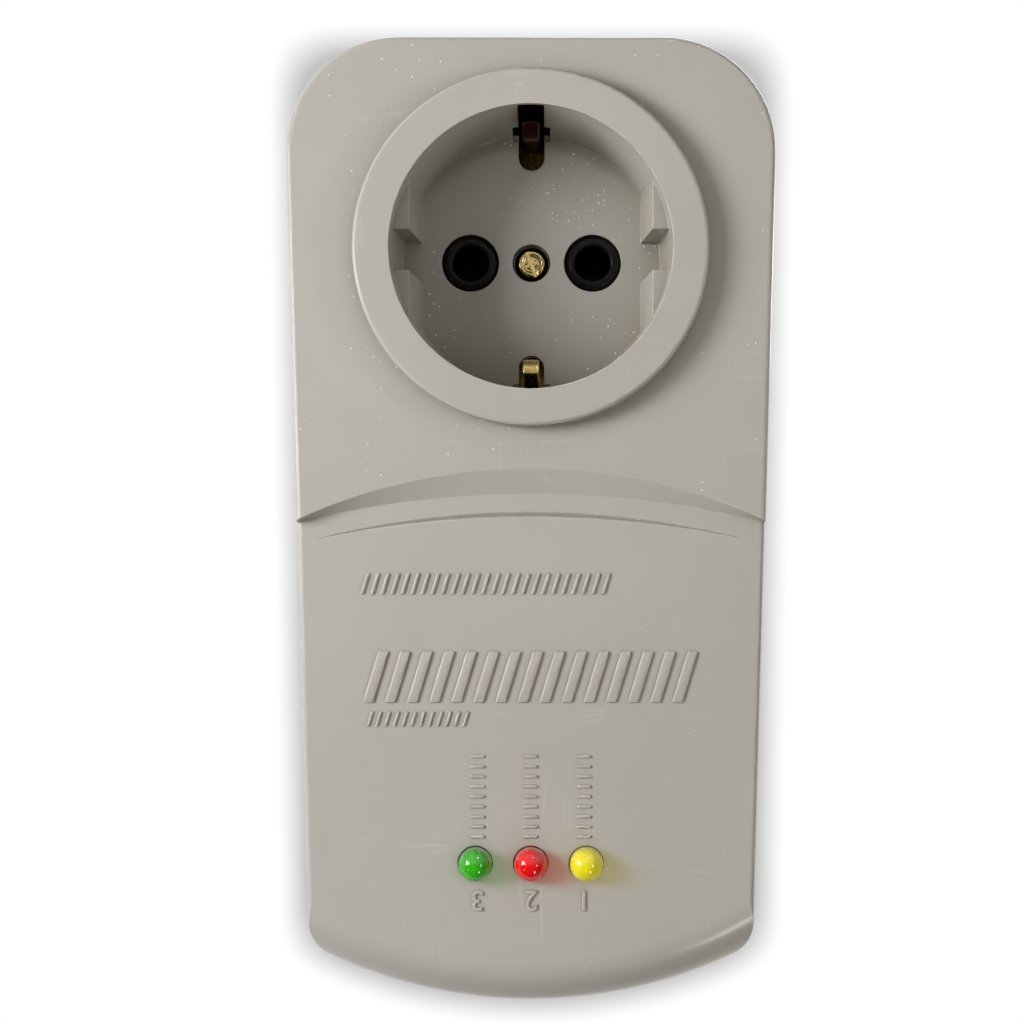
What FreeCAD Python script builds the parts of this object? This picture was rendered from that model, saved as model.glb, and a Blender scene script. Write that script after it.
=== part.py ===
import FreeCAD, Part
import math
import os
import Sketcher

from FreeCAD import Placement, Rotation, Vector

# Plug-in voltage protector with an earthed socket on its face, in millimetres.
# +X is right, +Z is up, +Y goes into the wall, and the front faces -Y.
# The origin is the middle of the plug's face, between its two pins.

os.makedirs("parts", exist_ok=True)
doc = FreeCAD.newDocument("voltage_protector")

# Driving dimensions, each written once.
driving = {
    # housing outline seen from the front, measured from the socket's centre
    "middle_half_width": 36.1,
    "side_taper": 1.56,
    "top_height": 31.6,
    "bottom_drop": 113.2,
    "top_corner": 16.8,
    "bottom_corner": 7.0,
    "bottom_bow": 72.0,
    # housing depth and walls
    "rear_depth": 20.0,
    "front_depth": 20.0,
    "wall": 2.0,
    "edge_round": 0.8,
    "back_round": 1.2,
    "end_round": 7.0,
    "lip_depth": 1.5,
    "lip_gap": 0.1,
    # curved step and groove across the front
    "step_drop": 1.7,
    "step_top_middle": 32.6,
    "step_top_side": 40.35,
    "step_foot_middle": 36.4,
    "step_foot_side": 40.6,
    "groove_top": 39.0,
    "groove_width": 0.8,
    "groove_side": 43.8,
    "groove_depth": 0.45,
    "groove_bed_share": 0.65,
    # socket recess
    "collar_radius": 26.4,
    "collar_rise": 3.0,
    "collar_round": 0.6,
    "recess_radius": 21.0,
    "recess_floor_radius": 20.0,
    "recess_depth": 17.5,
    "recess_wall": 2.0,
    "floor_wall": 3.0,
    "guide_sink": 3.5,
    "guide_front_x": 18.1,
    "guide_floor_x": 17.0,
    "guide_notch": 3.1,
    "guide_height": 11.5,
    "earth_slot": 4.0,
    "earth_slot_inner": 14.4,
    "earth_slot_wide": 5.8,
    "earth_slot_wide_depth": 4.8,
    "earth_slot_wide_sink": 0.5,
    "earth_slot_wide_inner": 18.9,
    "earth_slot_lip": 0.8,
    # plug neck and pins
    "neck_length": 18.0,
    "neck_radius": 18.7,
    "neck_bore": 14.8,
    "neck_flat": 17.4,
    "neck_groove_x": 16.0,
    "neck_groove": 5.5,
    "face_wall": 3.0,
    "pin_offset": 9.5,
    "pin_radius": 2.4,
    "pin_length": 19.0,
    "pin_tip_radius": 1.2,
    "pin_tip_length": 1.8,
    "pin_seat_radius": 2.7,
    "pin_flange_radius": 3.6,
    "pin_flange": 1.2,
    "pin_tail_radius": 1.7,
    "pin_tail": 6.8,
    "link_radius": 1.7,
    # contact carrier behind the recess floor
    "carrier_half_width": 16.0,
    "carrier_half_height": 7.0,
    "carrier_depth": 15.7,
    "boss_radius": 4.3,
    "boss_gap": 0.15,
    "boss_bevel": 0.8,
    "boss_rise": 0.4,
    "bore_radius": 2.75,
    "bore_chamfer": 0.25,
    "bore_wall": 1.6,
    "chamber_half_width": 4.1,
    "chamber_half_height": 4.6,
    "contact_sink": 0.5,
    "contact_metal": 0.7,
    "contact_half_width": 3.4,
    "contact_half_height": 3.2,
    "throat_half_gap": 2.3,
    "mouth_half_gap": 3.1,
    "contact_reach": 13.0,
    "contact_mouth": 5.0,
    "tab_half_width": 1.5,
    "tab_drop": 11.0,
    # earthing metal
    "earth_metal": 0.8,
    "bridge_half_width": 3.0,
    "clip_radius": 19.7,
    "clip_root": 5.2,
    "clip_half_width": 1.2,
    "clip_crest_radius": 16.4,
    "clip_crest_sink": 4.0,
    "clip_bend": 6.9,
    "clip_tip_radius": 19.0,
    "clip_tip_gap": 0.4,
    "clip_slant_share": 1.2,
    "clip_tip_across_share": 0.8,
    "clip_tip_along_share": 0.7,
    "plug_earth_radius": 16.9,
    "plug_earth_half_width": 2.0,
    "plug_earth_set_back": 1.5,
    "plug_earth_foot": 8.0,
    # screws
    "screw_head_radius": 2.6,
    "screw_head": 1.7,
    "screw_head_hole": 2.95,
    "head_sink": 2.1,
    "screw_radius": 1.75,
    "screw_length": 28.0,
    "screw_gap": 0.15,
    "screw_slot": 0.75,
    "screw_slot_depth": 0.9,
    "screw_slot_angle": 62.0,
    "screw_cross_share": 0.62,
    "head_bevel_share": 0.35,
    "pilot_spare": 1.0,
    "pillar_radius": 4.0,
    "shell_screw_head_radius": 2.8,
    "shell_screw_head": 2.0,
    "shell_screw_radius": 1.45,
    "shell_screw_length": 12.0,
    "shell_well_radius": 3.1,
    "shell_well_wall": 1.1,
    "shell_seat": 5.0,
    "post_radius": 3.2,
    "top_post_x": 26.5,
    "top_post_z": 22.0,
    "bottom_post_x": 28.0,
    "bottom_post_z": -98.0,
    "thread_gap": 0.05,
    # circuit board
    "board_half_width": 23.5,
    "board_top": -40.0,
    "board_bottom": -104.0,
    "board_thick": 1.6,
    "board_behind_face": 9.1,
    "standoff_radius": 2.5,
    "standoff_x": 20.5,
    "standoff_top": -44.0,
    "standoff_bottom": -100.0,
    "board_screw_radius": 1.1,
    "board_screw_length": 6.4,
    "board_screw_head_radius": 2.2,
    "board_screw_head": 1.6,
    "lead_radius": 0.35,
    "lead_gap": 0.05,
    "lead_tail": 1.5,
    "lead_elbow": 0.5,
    "lead_pitch": 2.54,
    # indicator lamps
    "led_radius": 2.5,
    "led_gap": 0.15,
    "led_pitch": 8.3,
    "led_height": -91.6,
    "led_stand": 4.0,
    "led_body": 7.6,
    "led_flange_radius": 2.9,
    "led_flange": 1.0,
    # relay
    "relay_x": -7.5,
    "relay_top": -48.0,
    "relay_half_width": 13.7,
    "relay_height": 32.4,
    "relay_depth": 20.0,
    "relay_case_wall": 0.8,
    "relay_base_thick": 2.0,
    "coil_from_top": 12.5,
    "core_radius": 3.0,
    "core_head_radius": 4.2,
    "core_head": 1.0,
    "bobbin_radius": 7.0,
    "bobbin_flange": 0.8,
    "bobbin_length": 10.1,
    "bobbin_hub": 0.8,
    "winding_radius": 6.6,
    "yoke_metal": 1.5,
    "yoke_half_width": 5.5,
    "yoke_gap": 0.9,
    "armature_gap": 0.8,
    "armature_metal": 1.4,
    "armature_half_width": 6.0,
    "armature_past_core": 5.5,
    "leaf_metal": 0.3,
    "leaf_half_width": 2.5,
    "leaf_gap": 0.2,
    "leaf_overlap": 5.5,
    "spring_overlap": 7.5,
    "spring_past_contact": 2.0,
    "contact_from_core": 14.5,
    "button_radius": 1.8,
    "button": 1.2,
    "fixed_button": 1.0,
    "contact_gap": 1.6,
    "post_metal": 1.0,
    "post_half_width": 3.0,
    # other parts on the board
    "film_cap_x": 13.9,
    "film_cap_z": -57.0,
    "film_cap_half_width": 4.2,
    "film_cap_half_height": 9.0,
    "film_cap_tall": 14.6,
    "film_cap_round": 1.0,
    "film_cap_lead_spacing": 15.0,
    "can_x": 15.0,
    "can_z": -75.0,
    "can_radius": 5.0,
    "can_tall": 16.0,
    "can_round": 0.8,
    "disc_x": 21.0,
    "disc_z": -57.0,
    "disc_radius": 5.0,
    "disc_thick": 3.2,
    "disc_stand": 1.0,
    "disc_foot_half": 3.0,
    "chip_x": -10.0,
    "chip_z": -86.2,
    "chip_half_length": 9.6,
    "chip_half_width": 3.2,
    "chip_thick": 3.4,
    "chip_stand": 0.6,
    "trimmer_x": 6.6,
    "trimmer_pitch": 9.2,
    "trimmer_z": -86.4,
    "trimmer_half": 3.3,
    "trimmer_tall": 4.6,
    "rotor_radius": 2.2,
    "rotor_thick": 1.5,
    "rotor_gap": 0.08,
    "rotor_slot": 0.7,
    "rotor_slot_half_length": 1.76,
    "rotor_slot_angle": 35.0,
    "transistor_x": -16.6,
    "transistor_z": -97.5,
    "transistor_radius": 2.3,
    "transistor_tall": 4.6,
    "transistor_stand": 2.0,
    "transistor_flat": 1.4,
    "axial_z": -98.0,
    "axial_pitch": 4.0,
    "diode_x": 1.0,
    "diode_radius": 1.3,
    "diode_half_length": 2.4,
    "resistor_x": -11.4,
    "resistor_radius": 1.2,
    "resistor_half_length": 3.1,
    "zener_x": 17.0,
    "zener_radius": 0.95,
    "zener_half_length": 2.0,
    "axial_lead": 1.0,
    # wiring
    "wire_radius": 1.2,
    "thin_wire_radius": 0.8,
    "wire_wall_gap": 0.8,
    "tab_tall": 5.6,
    "tab_width": 2.4,
    "tab_thick": 0.8,
    "tabs_z": -43.6,
    "live_in_drop": 24.2,
    "live_in_rise": 6.0,
    "front_wire_drop": 22.0,
    "front_wire_rise": 4.0,
    "live_in_x": -14.6,
    "live_out_x": -5.0,
    "neutral_x": 12.0,
}

# Planes worked out from the driving dimensions, as places along Y unless named otherwise.
# Cutting tools run past what they cut by overcut.
derived = {
    "overcut": "sizes.wall / 2",
    "back_plane": "-sizes.neck_length",
    "rear_inside": "back_plane - sizes.wall",
    "parting": "back_plane - sizes.rear_depth",
    "upper_face": "parting - sizes.front_depth",
    "lower_face": "upper_face + sizes.step_drop",
    "upper_inside": "upper_face + sizes.wall",
    "lower_inside": "lower_face + sizes.wall",
    "rim": "upper_face - sizes.collar_rise",
    "floor_face": "rim + sizes.recess_depth",
    "floor_back": "floor_face + sizes.floor_wall",
    "head_seat": "floor_face + sizes.head_sink",
    "carrier_back": "floor_back + sizes.carrier_depth",
    "bridge_back": "carrier_back + sizes.earth_metal",
    "plug_foot_back": "bridge_back + sizes.earth_metal",
    "contact_back": "carrier_back - sizes.contact_sink",
    "contact_base": "contact_back - sizes.contact_metal",
    "contact_front": "contact_back - sizes.contact_reach",
    "pin_flange_back": "-sizes.face_wall - sizes.pin_flange",
    "pin_tail_end": "pin_flange_back - sizes.pin_tail",
    "clip_foot": "carrier_back - sizes.clip_root",
    "clip_outer": "sizes.clip_radius + sizes.earth_metal",
    "clip_crest": "rim + sizes.clip_crest_sink",
    "slot_front": "rim + sizes.earth_slot_lip",
    "clip_end": "slot_front + sizes.clip_tip_gap",
    "shell_screw_seat": "parting + sizes.shell_seat",
    "board_front": "lower_face + sizes.board_behind_face",
    "board_rear": "board_front + sizes.board_thick",
    "led_tip": "lower_face - sizes.led_stand",
    "led_shoulder": "led_tip + sizes.led_body",
    "led_back": "led_shoulder + sizes.led_flange",
    "led_lead_end": "board_rear + sizes.lead_tail",
    "relay_bottom": "sizes.relay_top - sizes.relay_height",
    "relay_floor": "board_rear + sizes.relay_base_thick",
    "relay_back": "board_rear + sizes.relay_depth",
    "coil_z": "sizes.relay_top - sizes.coil_from_top",
    "yoke_top": "relay_floor + sizes.yoke_metal",
    "bobbin_back": "yoke_top + sizes.bobbin_length",
    "core_face": "bobbin_back + sizes.core_head",
    "armature_face": "core_face + sizes.armature_gap",
    "armature_back": "armature_face + sizes.armature_metal",
    "yoke_inner_z": "coil_z + sizes.bobbin_radius + sizes.yoke_gap",
    "yoke_outer_z": "yoke_inner_z + sizes.yoke_metal",
    "contact_z": "coil_z - sizes.contact_from_core",
    "moving_face": "armature_back - sizes.button",
    "fixed_face": "moving_face - sizes.contact_gap",
    "fixed_seat": "fixed_face - sizes.fixed_button",
    "wire_level": "rear_inside - sizes.wire_wall_gap - sizes.wire_radius",
    "tab_end": "board_rear + sizes.tab_tall",
}


def fill_sheet(name, cells, sign):
    sheet = doc.addObject("Spreadsheet::Sheet", name)
    for row, (alias, content) in enumerate(cells.items(), start=1):
        sheet.set("A%d" % row, alias)
        sheet.set("B%d" % row, sign + str(content))
        sheet.setAlias("B%d" % row, alias)
    return sheet


sizes = fill_sheet("sizes", driving, "")
places = fill_sheet("places", derived, "=")
doc.recompute()

toward_front = Rotation(Vector(1, 0, 0), 90)
near = 0.001
finished = {}


def size(name):
    return float(sizes.get(name))


def place(name):
    return float(places.get(name))


def keep(name, item):
    item.Label = name
    finished[name] = item
    return item


def move_to(item, x, y, z):
    item.setExpression("Placement.Base.x", x)
    item.setExpression("Placement.Base.y", y)
    item.setExpression("Placement.Base.z", z)


# A cylinder along Y. It starts at one plane and runs forward to another.
def rod(name, radius, back, front, x="0", z="0"):
    item = doc.addObject("Part::Cylinder", name)
    item.Placement = Placement(Vector(), toward_front)
    item.setExpression("Radius", radius)
    item.setExpression("Height", "(%s) - (%s)" % (back, front))
    move_to(item, x, back, z)
    return item


# A cone along Y, with one radius at its back plane and one at its front plane.
def taper(name, back_radius, front_radius, back, front, x="0", z="0"):
    item = doc.addObject("Part::Cone", name)
    item.Placement = Placement(Vector(), toward_front)
    item.setExpression("Radius1", back_radius)
    item.setExpression("Radius2", front_radius)
    item.setExpression("Height", "(%s) - (%s)" % (back, front))
    move_to(item, x, back, z)
    return item


# A block between a low and a high place along each axis.
def block(name, x, y, z):
    item = doc.addObject("Part::Box", name)
    item.setExpression("Length", "(%s) - (%s)" % (x[1], x[0]))
    item.setExpression("Width", "(%s) - (%s)" % (y[1], y[0]))
    item.setExpression("Height", "(%s) - (%s)" % (z[1], z[0]))
    move_to(item, x[0], y[0], z[0])
    return item


def around(middle, half):
    return "(%s) - (%s)" % (middle, half), "(%s) + (%s)" % (middle, half)


def join(name, *items):
    item = doc.addObject("Part::MultiFuse", name)
    item.Shapes = list(items)
    item.Refine = True
    return item


def carve(name, base, *tools):
    item = doc.addObject("Part::Cut", name)
    item.Base = base
    item.Tool = tools[0] if len(tools) == 1 else join(name + "_tools", *tools)
    item.Refine = True
    return item


def group(name, items):
    item = doc.addObject("Part::Compound", name)
    item.Links = items
    return item


def shaped(name, shape):
    item = doc.addObject("Part::Feature", name)
    item.Shape = shape
    item.Placement = Placement()
    return item


# Closed polygon in a sketch. Each corner is a pair of formulas, held by its own two constraints.
def draw_polygon(sketch, corners):
    count = len(corners)
    start = [Vector(math.cos(2 * math.pi * k / count), math.sin(2 * math.pi * k / count), 0)
             for k in range(count)]
    for k in range(count):
        sketch.addGeometry(Part.LineSegment(start[k], start[(k + 1) % count]), False)
    for k in range(count):
        sketch.addConstraint(Sketcher.Constraint("Coincident", k, 2, (k + 1) % count, 1))
    for k, corner in enumerate(corners):
        for kind, formula, first in zip(("DistanceX", "DistanceY"), corner, start[k]):
            if formula == "0":
                axis = -2 if kind == "DistanceX" else -1
                sketch.addConstraint(Sketcher.Constraint("PointOnObject", k, 1, axis))
                continue
            index = sketch.addConstraint(Sketcher.Constraint(kind, k, 1, first))
            sketch.setExpression("Constraints[%d]" % index, formula)


def new_sketch(body, role):
    sketch = body.newObject("Sketcher::SketchObject", body.Name + "_profile")
    plane = [item for item in body.Origin.OriginFeatures if item.Role == role][0]
    sketch.AttachmentSupport = (plane, [""])
    sketch.MapMode = "FlatFace"
    return sketch


# A solid turned about a line along Y at x, z. The profile is pairs of radius and place along Y.
def turned(name, profile, x="0", z="0"):
    body = doc.addObject("PartDesign::Body", name)
    sketch = new_sketch(body, "XY_Plane")
    sketch.setExpression("AttachmentOffset.Base.x", x)
    sketch.setExpression("AttachmentOffset.Base.z", z)
    draw_polygon(sketch, profile)
    turn = body.newObject("PartDesign::Revolution", name + "_turn")
    turn.Profile = sketch
    turn.ReferenceAxis = (sketch, ["V_Axis"])
    turn.Angle = 360
    return body


# A strip or plate whose profile lies in one plane and which spans low to high across it.
def extruded(name, role, profile, low, high):
    body = doc.addObject("PartDesign::Body", name)
    sketch = new_sketch(body, role)
    offset = "-(%s)" % high if role == "XZ_Plane" else low
    sketch.setExpression("AttachmentOffset.Base.z", offset)
    draw_polygon(sketch, profile)
    pad = body.newObject("PartDesign::Pad", name + "_pad")
    pad.Profile = sketch
    pad.setExpression("Length", "(%s) - (%s)" % (high, low))
    return body


# Housing outline

def side_normal():
    angle = math.radians(size("side_taper"))
    return Vector(-math.cos(angle), 0, math.sin(angle))


def side_direction():
    angle = math.radians(size("side_taper"))
    return Vector(-math.sin(angle), 0, -math.cos(angle))


# Half width of the housing at a height, drawn in by inset.
def half_width(height, inset):
    angle = math.radians(size("side_taper"))
    return size("middle_half_width") + height * math.tan(angle) - inset / math.cos(angle)


def bow_centre():
    return Vector(0, 0, size("bottom_bow") - size("bottom_drop"))


def mirrored(point):
    return Vector(-point.x, point.y, point.z)


def arc_about(centre, radius, first, last):
    middle = (first + last) * 0.5 - centre
    middle.normalize()
    return Part.Arc(first, centre + middle * radius, last).toShape()


# Tangent points of the rounded top corner on the right, and its centre.
def top_corner_points(inset):
    radius = size("top_corner") - inset
    top = size("top_height") - inset
    centre_z = top - radius
    angle = math.radians(size("side_taper"))
    centre_x = half_width(centre_z, inset) - radius / math.cos(angle)
    centre = Vector(centre_x, 0, centre_z)
    return Vector(centre_x, 0, top), centre - side_normal() * radius, centre, radius


# Tangent points of the bottom corner on the right, between the side and the bowed end.
def bottom_corner_points(inset):
    radius = size("bottom_corner") - inset
    bow = size("bottom_bow") - inset
    start = Vector(half_width(0, inset), 0, 0) + side_normal() * radius
    along = side_direction()
    offset = start - bow_centre()
    half = offset.dot(along)
    reach = -half + math.sqrt(half * half - offset.dot(offset) + (bow - radius) ** 2)
    centre = start + along * reach
    outward = centre - bow_centre()
    outward.normalize()
    return centre - side_normal() * radius, centre + outward * radius, centre, radius


def top_edges(inset):
    top, side, centre, radius = top_corner_points(inset)
    right = arc_about(centre, radius, top, side)
    left = arc_about(mirrored(centre), radius, mirrored(side), mirrored(top))
    return [left, Part.makeLine(mirrored(top), top), right], side


# The whole outline as a wire at one depth, drawn in by inset.
def outline(inset, depth):
    edges, side = top_edges(inset)
    low_side, low_end, centre, radius = bottom_corner_points(inset)
    bow = size("bottom_bow") - inset
    edges.append(Part.makeLine(side, low_side))
    edges.append(arc_about(centre, radius, low_side, low_end))
    edges.append(arc_about(bow_centre(), bow, low_end, mirrored(low_end)))
    edges.append(arc_about(mirrored(centre), radius, mirrored(low_end), mirrored(low_side)))
    edges.append(Part.makeLine(mirrored(low_side), mirrored(side)))
    wire = Part.Wire(edges)
    wire.translate(Vector(0, depth, 0))
    return wire


# The part of the outline above a curved line that crosses the front.
def upper_outline(middle, side_height, depth):
    edges, side = top_edges(0)
    end = Vector(half_width(-side_height, 0), 0, -side_height)
    edges.append(Part.makeLine(side, end))
    edges.append(Part.Arc(end, Vector(0, 0, -middle), mirrored(end)).toShape())
    edges.append(Part.makeLine(mirrored(end), mirrored(side)))
    wire = Part.Wire(edges)
    wire.translate(Vector(0, depth, 0))
    return wire


def prism(wire, front, back):
    return Part.Face(wire).extrude(Vector(0, back - front, 0))


# The bowed lower end rolls back into the side wall, like a coin's edge.
def roll_end(solid, inset, front, back):
    radius = size("bottom_bow") - inset
    centre = bow_centre() + Vector(0, front, 0)
    coin = Part.makeCylinder(radius, back - front, centre, Vector(0, 1, 0))
    rim_edge = [edge for edge in coin.Edges
                if edge.Closed and abs(edge.CenterOfMass.y - front) < near]
    coin = coin.makeFillet(size("end_round") - inset, rim_edge)
    half = half_width(0, 0)
    top = bow_centre().z - size("bottom_corner")
    low = -size("bottom_drop") - place("overcut")
    below = Part.makeBox(2 * half, back - front, top - low, Vector(-half, front, low))
    return solid.cut(below.cut(coin))


def front_edges(solid, front):
    found = []
    for edge in solid.Edges:
        flat = abs(edge.BoundBox.YLength) < near
        if flat and abs(edge.CenterOfMass.y - front) < near:
            found.append(edge)
    return found


# Front face below the step, with its rolled end.
def lower_block():
    front, back = place("lower_face"), place("parting")
    solid = prism(outline(0, front), front, back)
    solid = solid.makeFillet(size("edge_round"), front_edges(solid, front))
    return roll_end(solid, 0, front, back)


# Raised panel round the socket. A curved ramp leads down to the lower face.
def upper_block():
    top, foot = place("upper_face"), place("lower_face")
    ramp_top = upper_outline(size("step_top_middle"), size("step_top_side"), top)
    ramp_foot = upper_outline(size("step_foot_middle"), size("step_foot_side"), foot)
    ramp = Part.makeLoft([ramp_foot, ramp_top], True, True)
    backing = prism(ramp_foot, foot, foot + size("end_round"))
    solid = ramp.fuse(backing).removeSplitter()
    edges = []
    for edge in solid.Edges:
        middle = edge.CenterOfMass
        if abs(middle.y - top) < near and middle.z > -size("step_top_middle"):
            edges.append(edge)
    return solid.makeFillet(size("edge_round"), edges)


# Shallow V groove just below the step, widest in the middle and gone at the sides.
def groove_cutter():
    face = place("lower_face")
    end = Vector(half_width(-size("groove_side"), 0), face, -size("groove_side"))
    top = size("groove_top")
    foot = top + size("groove_width")
    deep = top + size("groove_bed_share") * size("groove_width")
    upper = Part.Arc(end, Vector(0, face, -top), mirrored(end)).toShape()
    lower = Part.Arc(end, Vector(0, face, -foot), mirrored(end)).toShape()
    bed = Part.Arc(end, Vector(0, face + size("groove_depth"), -deep), mirrored(end)).toShape()
    faces = [Part.makeRuledSurface(upper, bed), Part.makeRuledSurface(bed, lower),
             Part.Face(Part.Wire([upper, lower]))]
    shell = Part.makeShell(faces)
    shell.sewShape()
    return Part.makeSolid(shell)


def front_form():
    solid = lower_block().fuse(upper_block()).removeSplitter()
    solid = solid.cut(groove_cutter())
    inset = size("wall")
    back = place("parting")
    inside = place("lower_inside")
    cavity = roll_end(prism(outline(inset, inside), inside, back), inset, inside, back)
    solid = solid.cut(cavity)
    deeper = prism(outline(inset, place("upper_inside")), place("upper_inside"), inside)
    high = size("top_height")
    half = half_width(high, 0)
    low = -size("step_top_middle") + size("wall")
    above = Part.makeBox(2 * half, size("front_depth"), high - low,
                         Vector(-half, place("upper_inside"), low))
    solid = solid.cut(deeper.common(above))
    lip_end = back + size("lip_depth")
    lip = prism(outline(size("wall") / 2 + size("lip_gap"), back), back, lip_end)
    lip = lip.cut(prism(outline(inset, back), back, lip_end))
    return solid.fuse(lip).removeSplitter()


def rear_form():
    front, back = place("parting"), place("back_plane")
    solid = prism(outline(0, front), front, back)
    rim_edges = [edge for edge in solid.Edges if abs(edge.CenterOfMass.y - back) < near
                 and abs(edge.BoundBox.YLength) < near]
    solid = solid.makeFillet(size("back_round"), rim_edges)
    return solid.cut(prism(outline(size("wall"), front), front, place("rear_inside")))


# Step in the rear shell's rim that takes the front shell's lip.
def lip_rebate():
    front = place("parting")
    back = front + size("lip_depth") + size("lip_gap")
    ring = prism(outline(size("wall") / 2, front), front, back)
    return ring.cut(prism(outline(size("wall") + size("lip_gap"), front), front, back))


# Guide blocks that flank the recess: a sloped inner face, cut through by a notch at mid height.
def guide_blocks():
    floor = place("floor_face") + size("floor_wall") / 2
    front = place("rim") + size("guide_sink")
    slope = (size("guide_front_x") - size("guide_floor_x")) / (place("floor_face") - front)
    floor_x = size("guide_floor_x") - slope * (floor - place("floor_face"))
    outer = size("recess_radius") + size("recess_wall") / 2
    corners = [Vector(floor_x, floor, 0), Vector(size("guide_front_x"), front, 0),
               Vector(outer, front, 0), Vector(outer, floor, 0)]
    profile = Part.Face(Part.makePolygon(corners + corners[:1]))
    tall = size("guide_height") - size("guide_notch")
    piece = profile.extrude(Vector(0, 0, tall))
    piece.translate(Vector(0, 0, size("guide_notch")))
    limit = Part.makeCylinder(outer, floor - front, Vector(0, front, 0), Vector(0, 1, 0))
    piece = piece.common(limit)
    below = piece.mirror(Vector(), Vector(0, 0, 1))
    right = piece.fuse(below)
    return right.fuse(right.mirror(Vector(), Vector(1, 0, 0)))


# Shells

post_spots = [(sign + "sizes.top_post_x", "sizes.top_post_z") for sign in ("", "-")]
post_spots += [(sign + "sizes.bottom_post_x", "sizes.bottom_post_z") for sign in ("", "-")]
standoff_spots = [(sign + "sizes.standoff_x", height) for sign in ("", "-")
                  for height in ("sizes.standoff_top", "sizes.standoff_bottom")]
led_spots = {"led_green": "-sizes.led_pitch", "led_red": "0", "led_yellow": "sizes.led_pitch"}
pin_spots = {"live": "-sizes.pin_offset", "neutral": "sizes.pin_offset"}


# Slot in the recess wall and floor that an earth clip stands in. Side is + or -.
def earth_slot_tools(name, side):
    half = "sizes.earth_slot / 2"
    inner = "%s(sizes.earth_slot_inner + %s)" % (side, half)
    outer = "%s(sizes.recess_radius + sizes.recess_wall)" % side
    span = (inner, outer) if side == "" else (outer, inner)
    wall_inner = "%ssizes.earth_slot_wide_inner" % side
    wall_span = (wall_inner, outer) if side == "" else (outer, wall_inner)
    window_inner = "%ssizes.recess_floor_radius" % side
    window_span = (window_inner, outer) if side == "" else (outer, window_inner)
    above = "places.floor_face - places.overcut"
    below = "places.floor_back + places.overcut"
    wide = "sizes.earth_slot_wide / 2"
    wide_front = "places.floor_face - sizes.earth_slot_wide_depth"
    wide_back = "places.floor_face + sizes.earth_slot_wide_sink"
    return [
        block(name + "_floor", around("0", half), (above, below), span),
        rod(name + "_end", half, below, above, "0", inner),
        block(name + "_wall", around("0", half), ("places.slot_front", below), wall_span),
        block(name + "_foot", around("0", wide), (wide_front, wide_back), wall_span),
        block(name + "_window", around("0", wide), (wide_front, below), window_span),
    ]


def make_front_shell():
    form = shaped("front_form", front_form())
    solids = [form]
    collar = rod("collar_block", "sizes.collar_radius", "places.upper_inside", "places.rim")
    rounded = doc.addObject("Part::Fillet", "collar")
    rounded.Base = collar
    doc.recompute()
    front_edge = [index for index, edge in enumerate(collar.Shape.Edges, start=1)
                  if edge.Closed and abs(edge.CenterOfMass.y - place("rim")) < near][0]
    rounded.Edges = [(front_edge, size("collar_round"), size("collar_round"))]
    solids.append(rounded)
    solids.append(rod("cup", "sizes.recess_radius + sizes.recess_wall",
                      "places.floor_back", "places.upper_inside"))
    for index, (x, z) in enumerate(post_spots):
        inside = "places.upper_inside" if z == "sizes.top_post_z" else "places.lower_inside"
        solids.append(rod("front_post_%d" % index, "sizes.post_radius", "places.parting",
                          inside + " - sizes.wall / 2", x, z))
    for index, (x, z) in enumerate(standoff_spots):
        solids.append(rod("standoff_%d" % index, "sizes.standoff_radius", "places.board_front",
                          "places.lower_inside - sizes.wall / 2", x, z))
    whole = join("front_solids", *solids)
    recess = taper("recess", "sizes.recess_floor_radius", "sizes.recess_radius",
                   "places.floor_face", "places.rim")
    cupped = carve("front_recessed", whole, recess)
    guided = join("front_guided", cupped, shaped("guide_blocks", guide_blocks()))
    above = "places.floor_face - places.overcut"
    below = "places.floor_back + places.overcut"
    tools = [
        rod("head_hole", "sizes.screw_head_hole", "places.head_seat", above),
        rod("shank_hole", "sizes.screw_radius + sizes.screw_gap", below, "places.floor_face"),
    ]
    for name, x in pin_spots.items():
        tools.append(rod("boss_hole_" + name, "sizes.boss_radius + sizes.boss_gap",
                         below, above, x))
    for name, x in led_spots.items():
        tools.append(rod("hole_" + name, "sizes.led_radius + sizes.led_gap",
                         "places.lower_inside + places.overcut",
                         "places.lower_face - places.overcut", x, "sizes.led_height"))
    tools += earth_slot_tools("slot_top", "")
    tools += earth_slot_tools("slot_bottom", "-")
    pilot = "places.shell_screw_seat - sizes.shell_screw_length - sizes.pilot_spare"
    for index, (x, z) in enumerate(post_spots):
        tools.append(rod("front_pilot_%d" % index, "sizes.shell_screw_radius + sizes.thread_gap",
                         "places.parting", pilot, x, z))
    pilot = "places.board_rear - sizes.board_screw_length - sizes.thread_gap"
    for index, (x, z) in enumerate(standoff_spots):
        tools.append(rod("standoff_pilot_%d" % index,
                         "sizes.board_screw_radius + sizes.thread_gap",
                         "places.board_front", pilot, x, z))
    keep("front_shell", carve("front_shell", guided, *tools))


# Channel down the neck for an earth strip, and its way through the back wall.
def neck_channel_tools(name, side):
    inner = "sizes.plug_earth_radius - sizes.thread_gap"
    outer = "sizes.plug_earth_radius + sizes.earth_metal + sizes.thread_gap"
    half = "sizes.plug_earth_half_width + sizes.thread_gap"
    outside = "sizes.neck_radius + places.overcut"
    if side == "":
        open_span, slot_span = (inner, outside), (inner, outer)
    else:
        open_span = ("-(%s)" % outside, "-(%s)" % inner)
        slot_span = ("-(%s)" % outer, "-(%s)" % inner)
    return [
        block(name + "_open", around("0", half), ("places.back_plane", "places.overcut"), open_span),
        block(name + "_pass", around("0", half),
              ("places.rear_inside - places.overcut", "places.back_plane"), slot_span),
    ]


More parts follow.
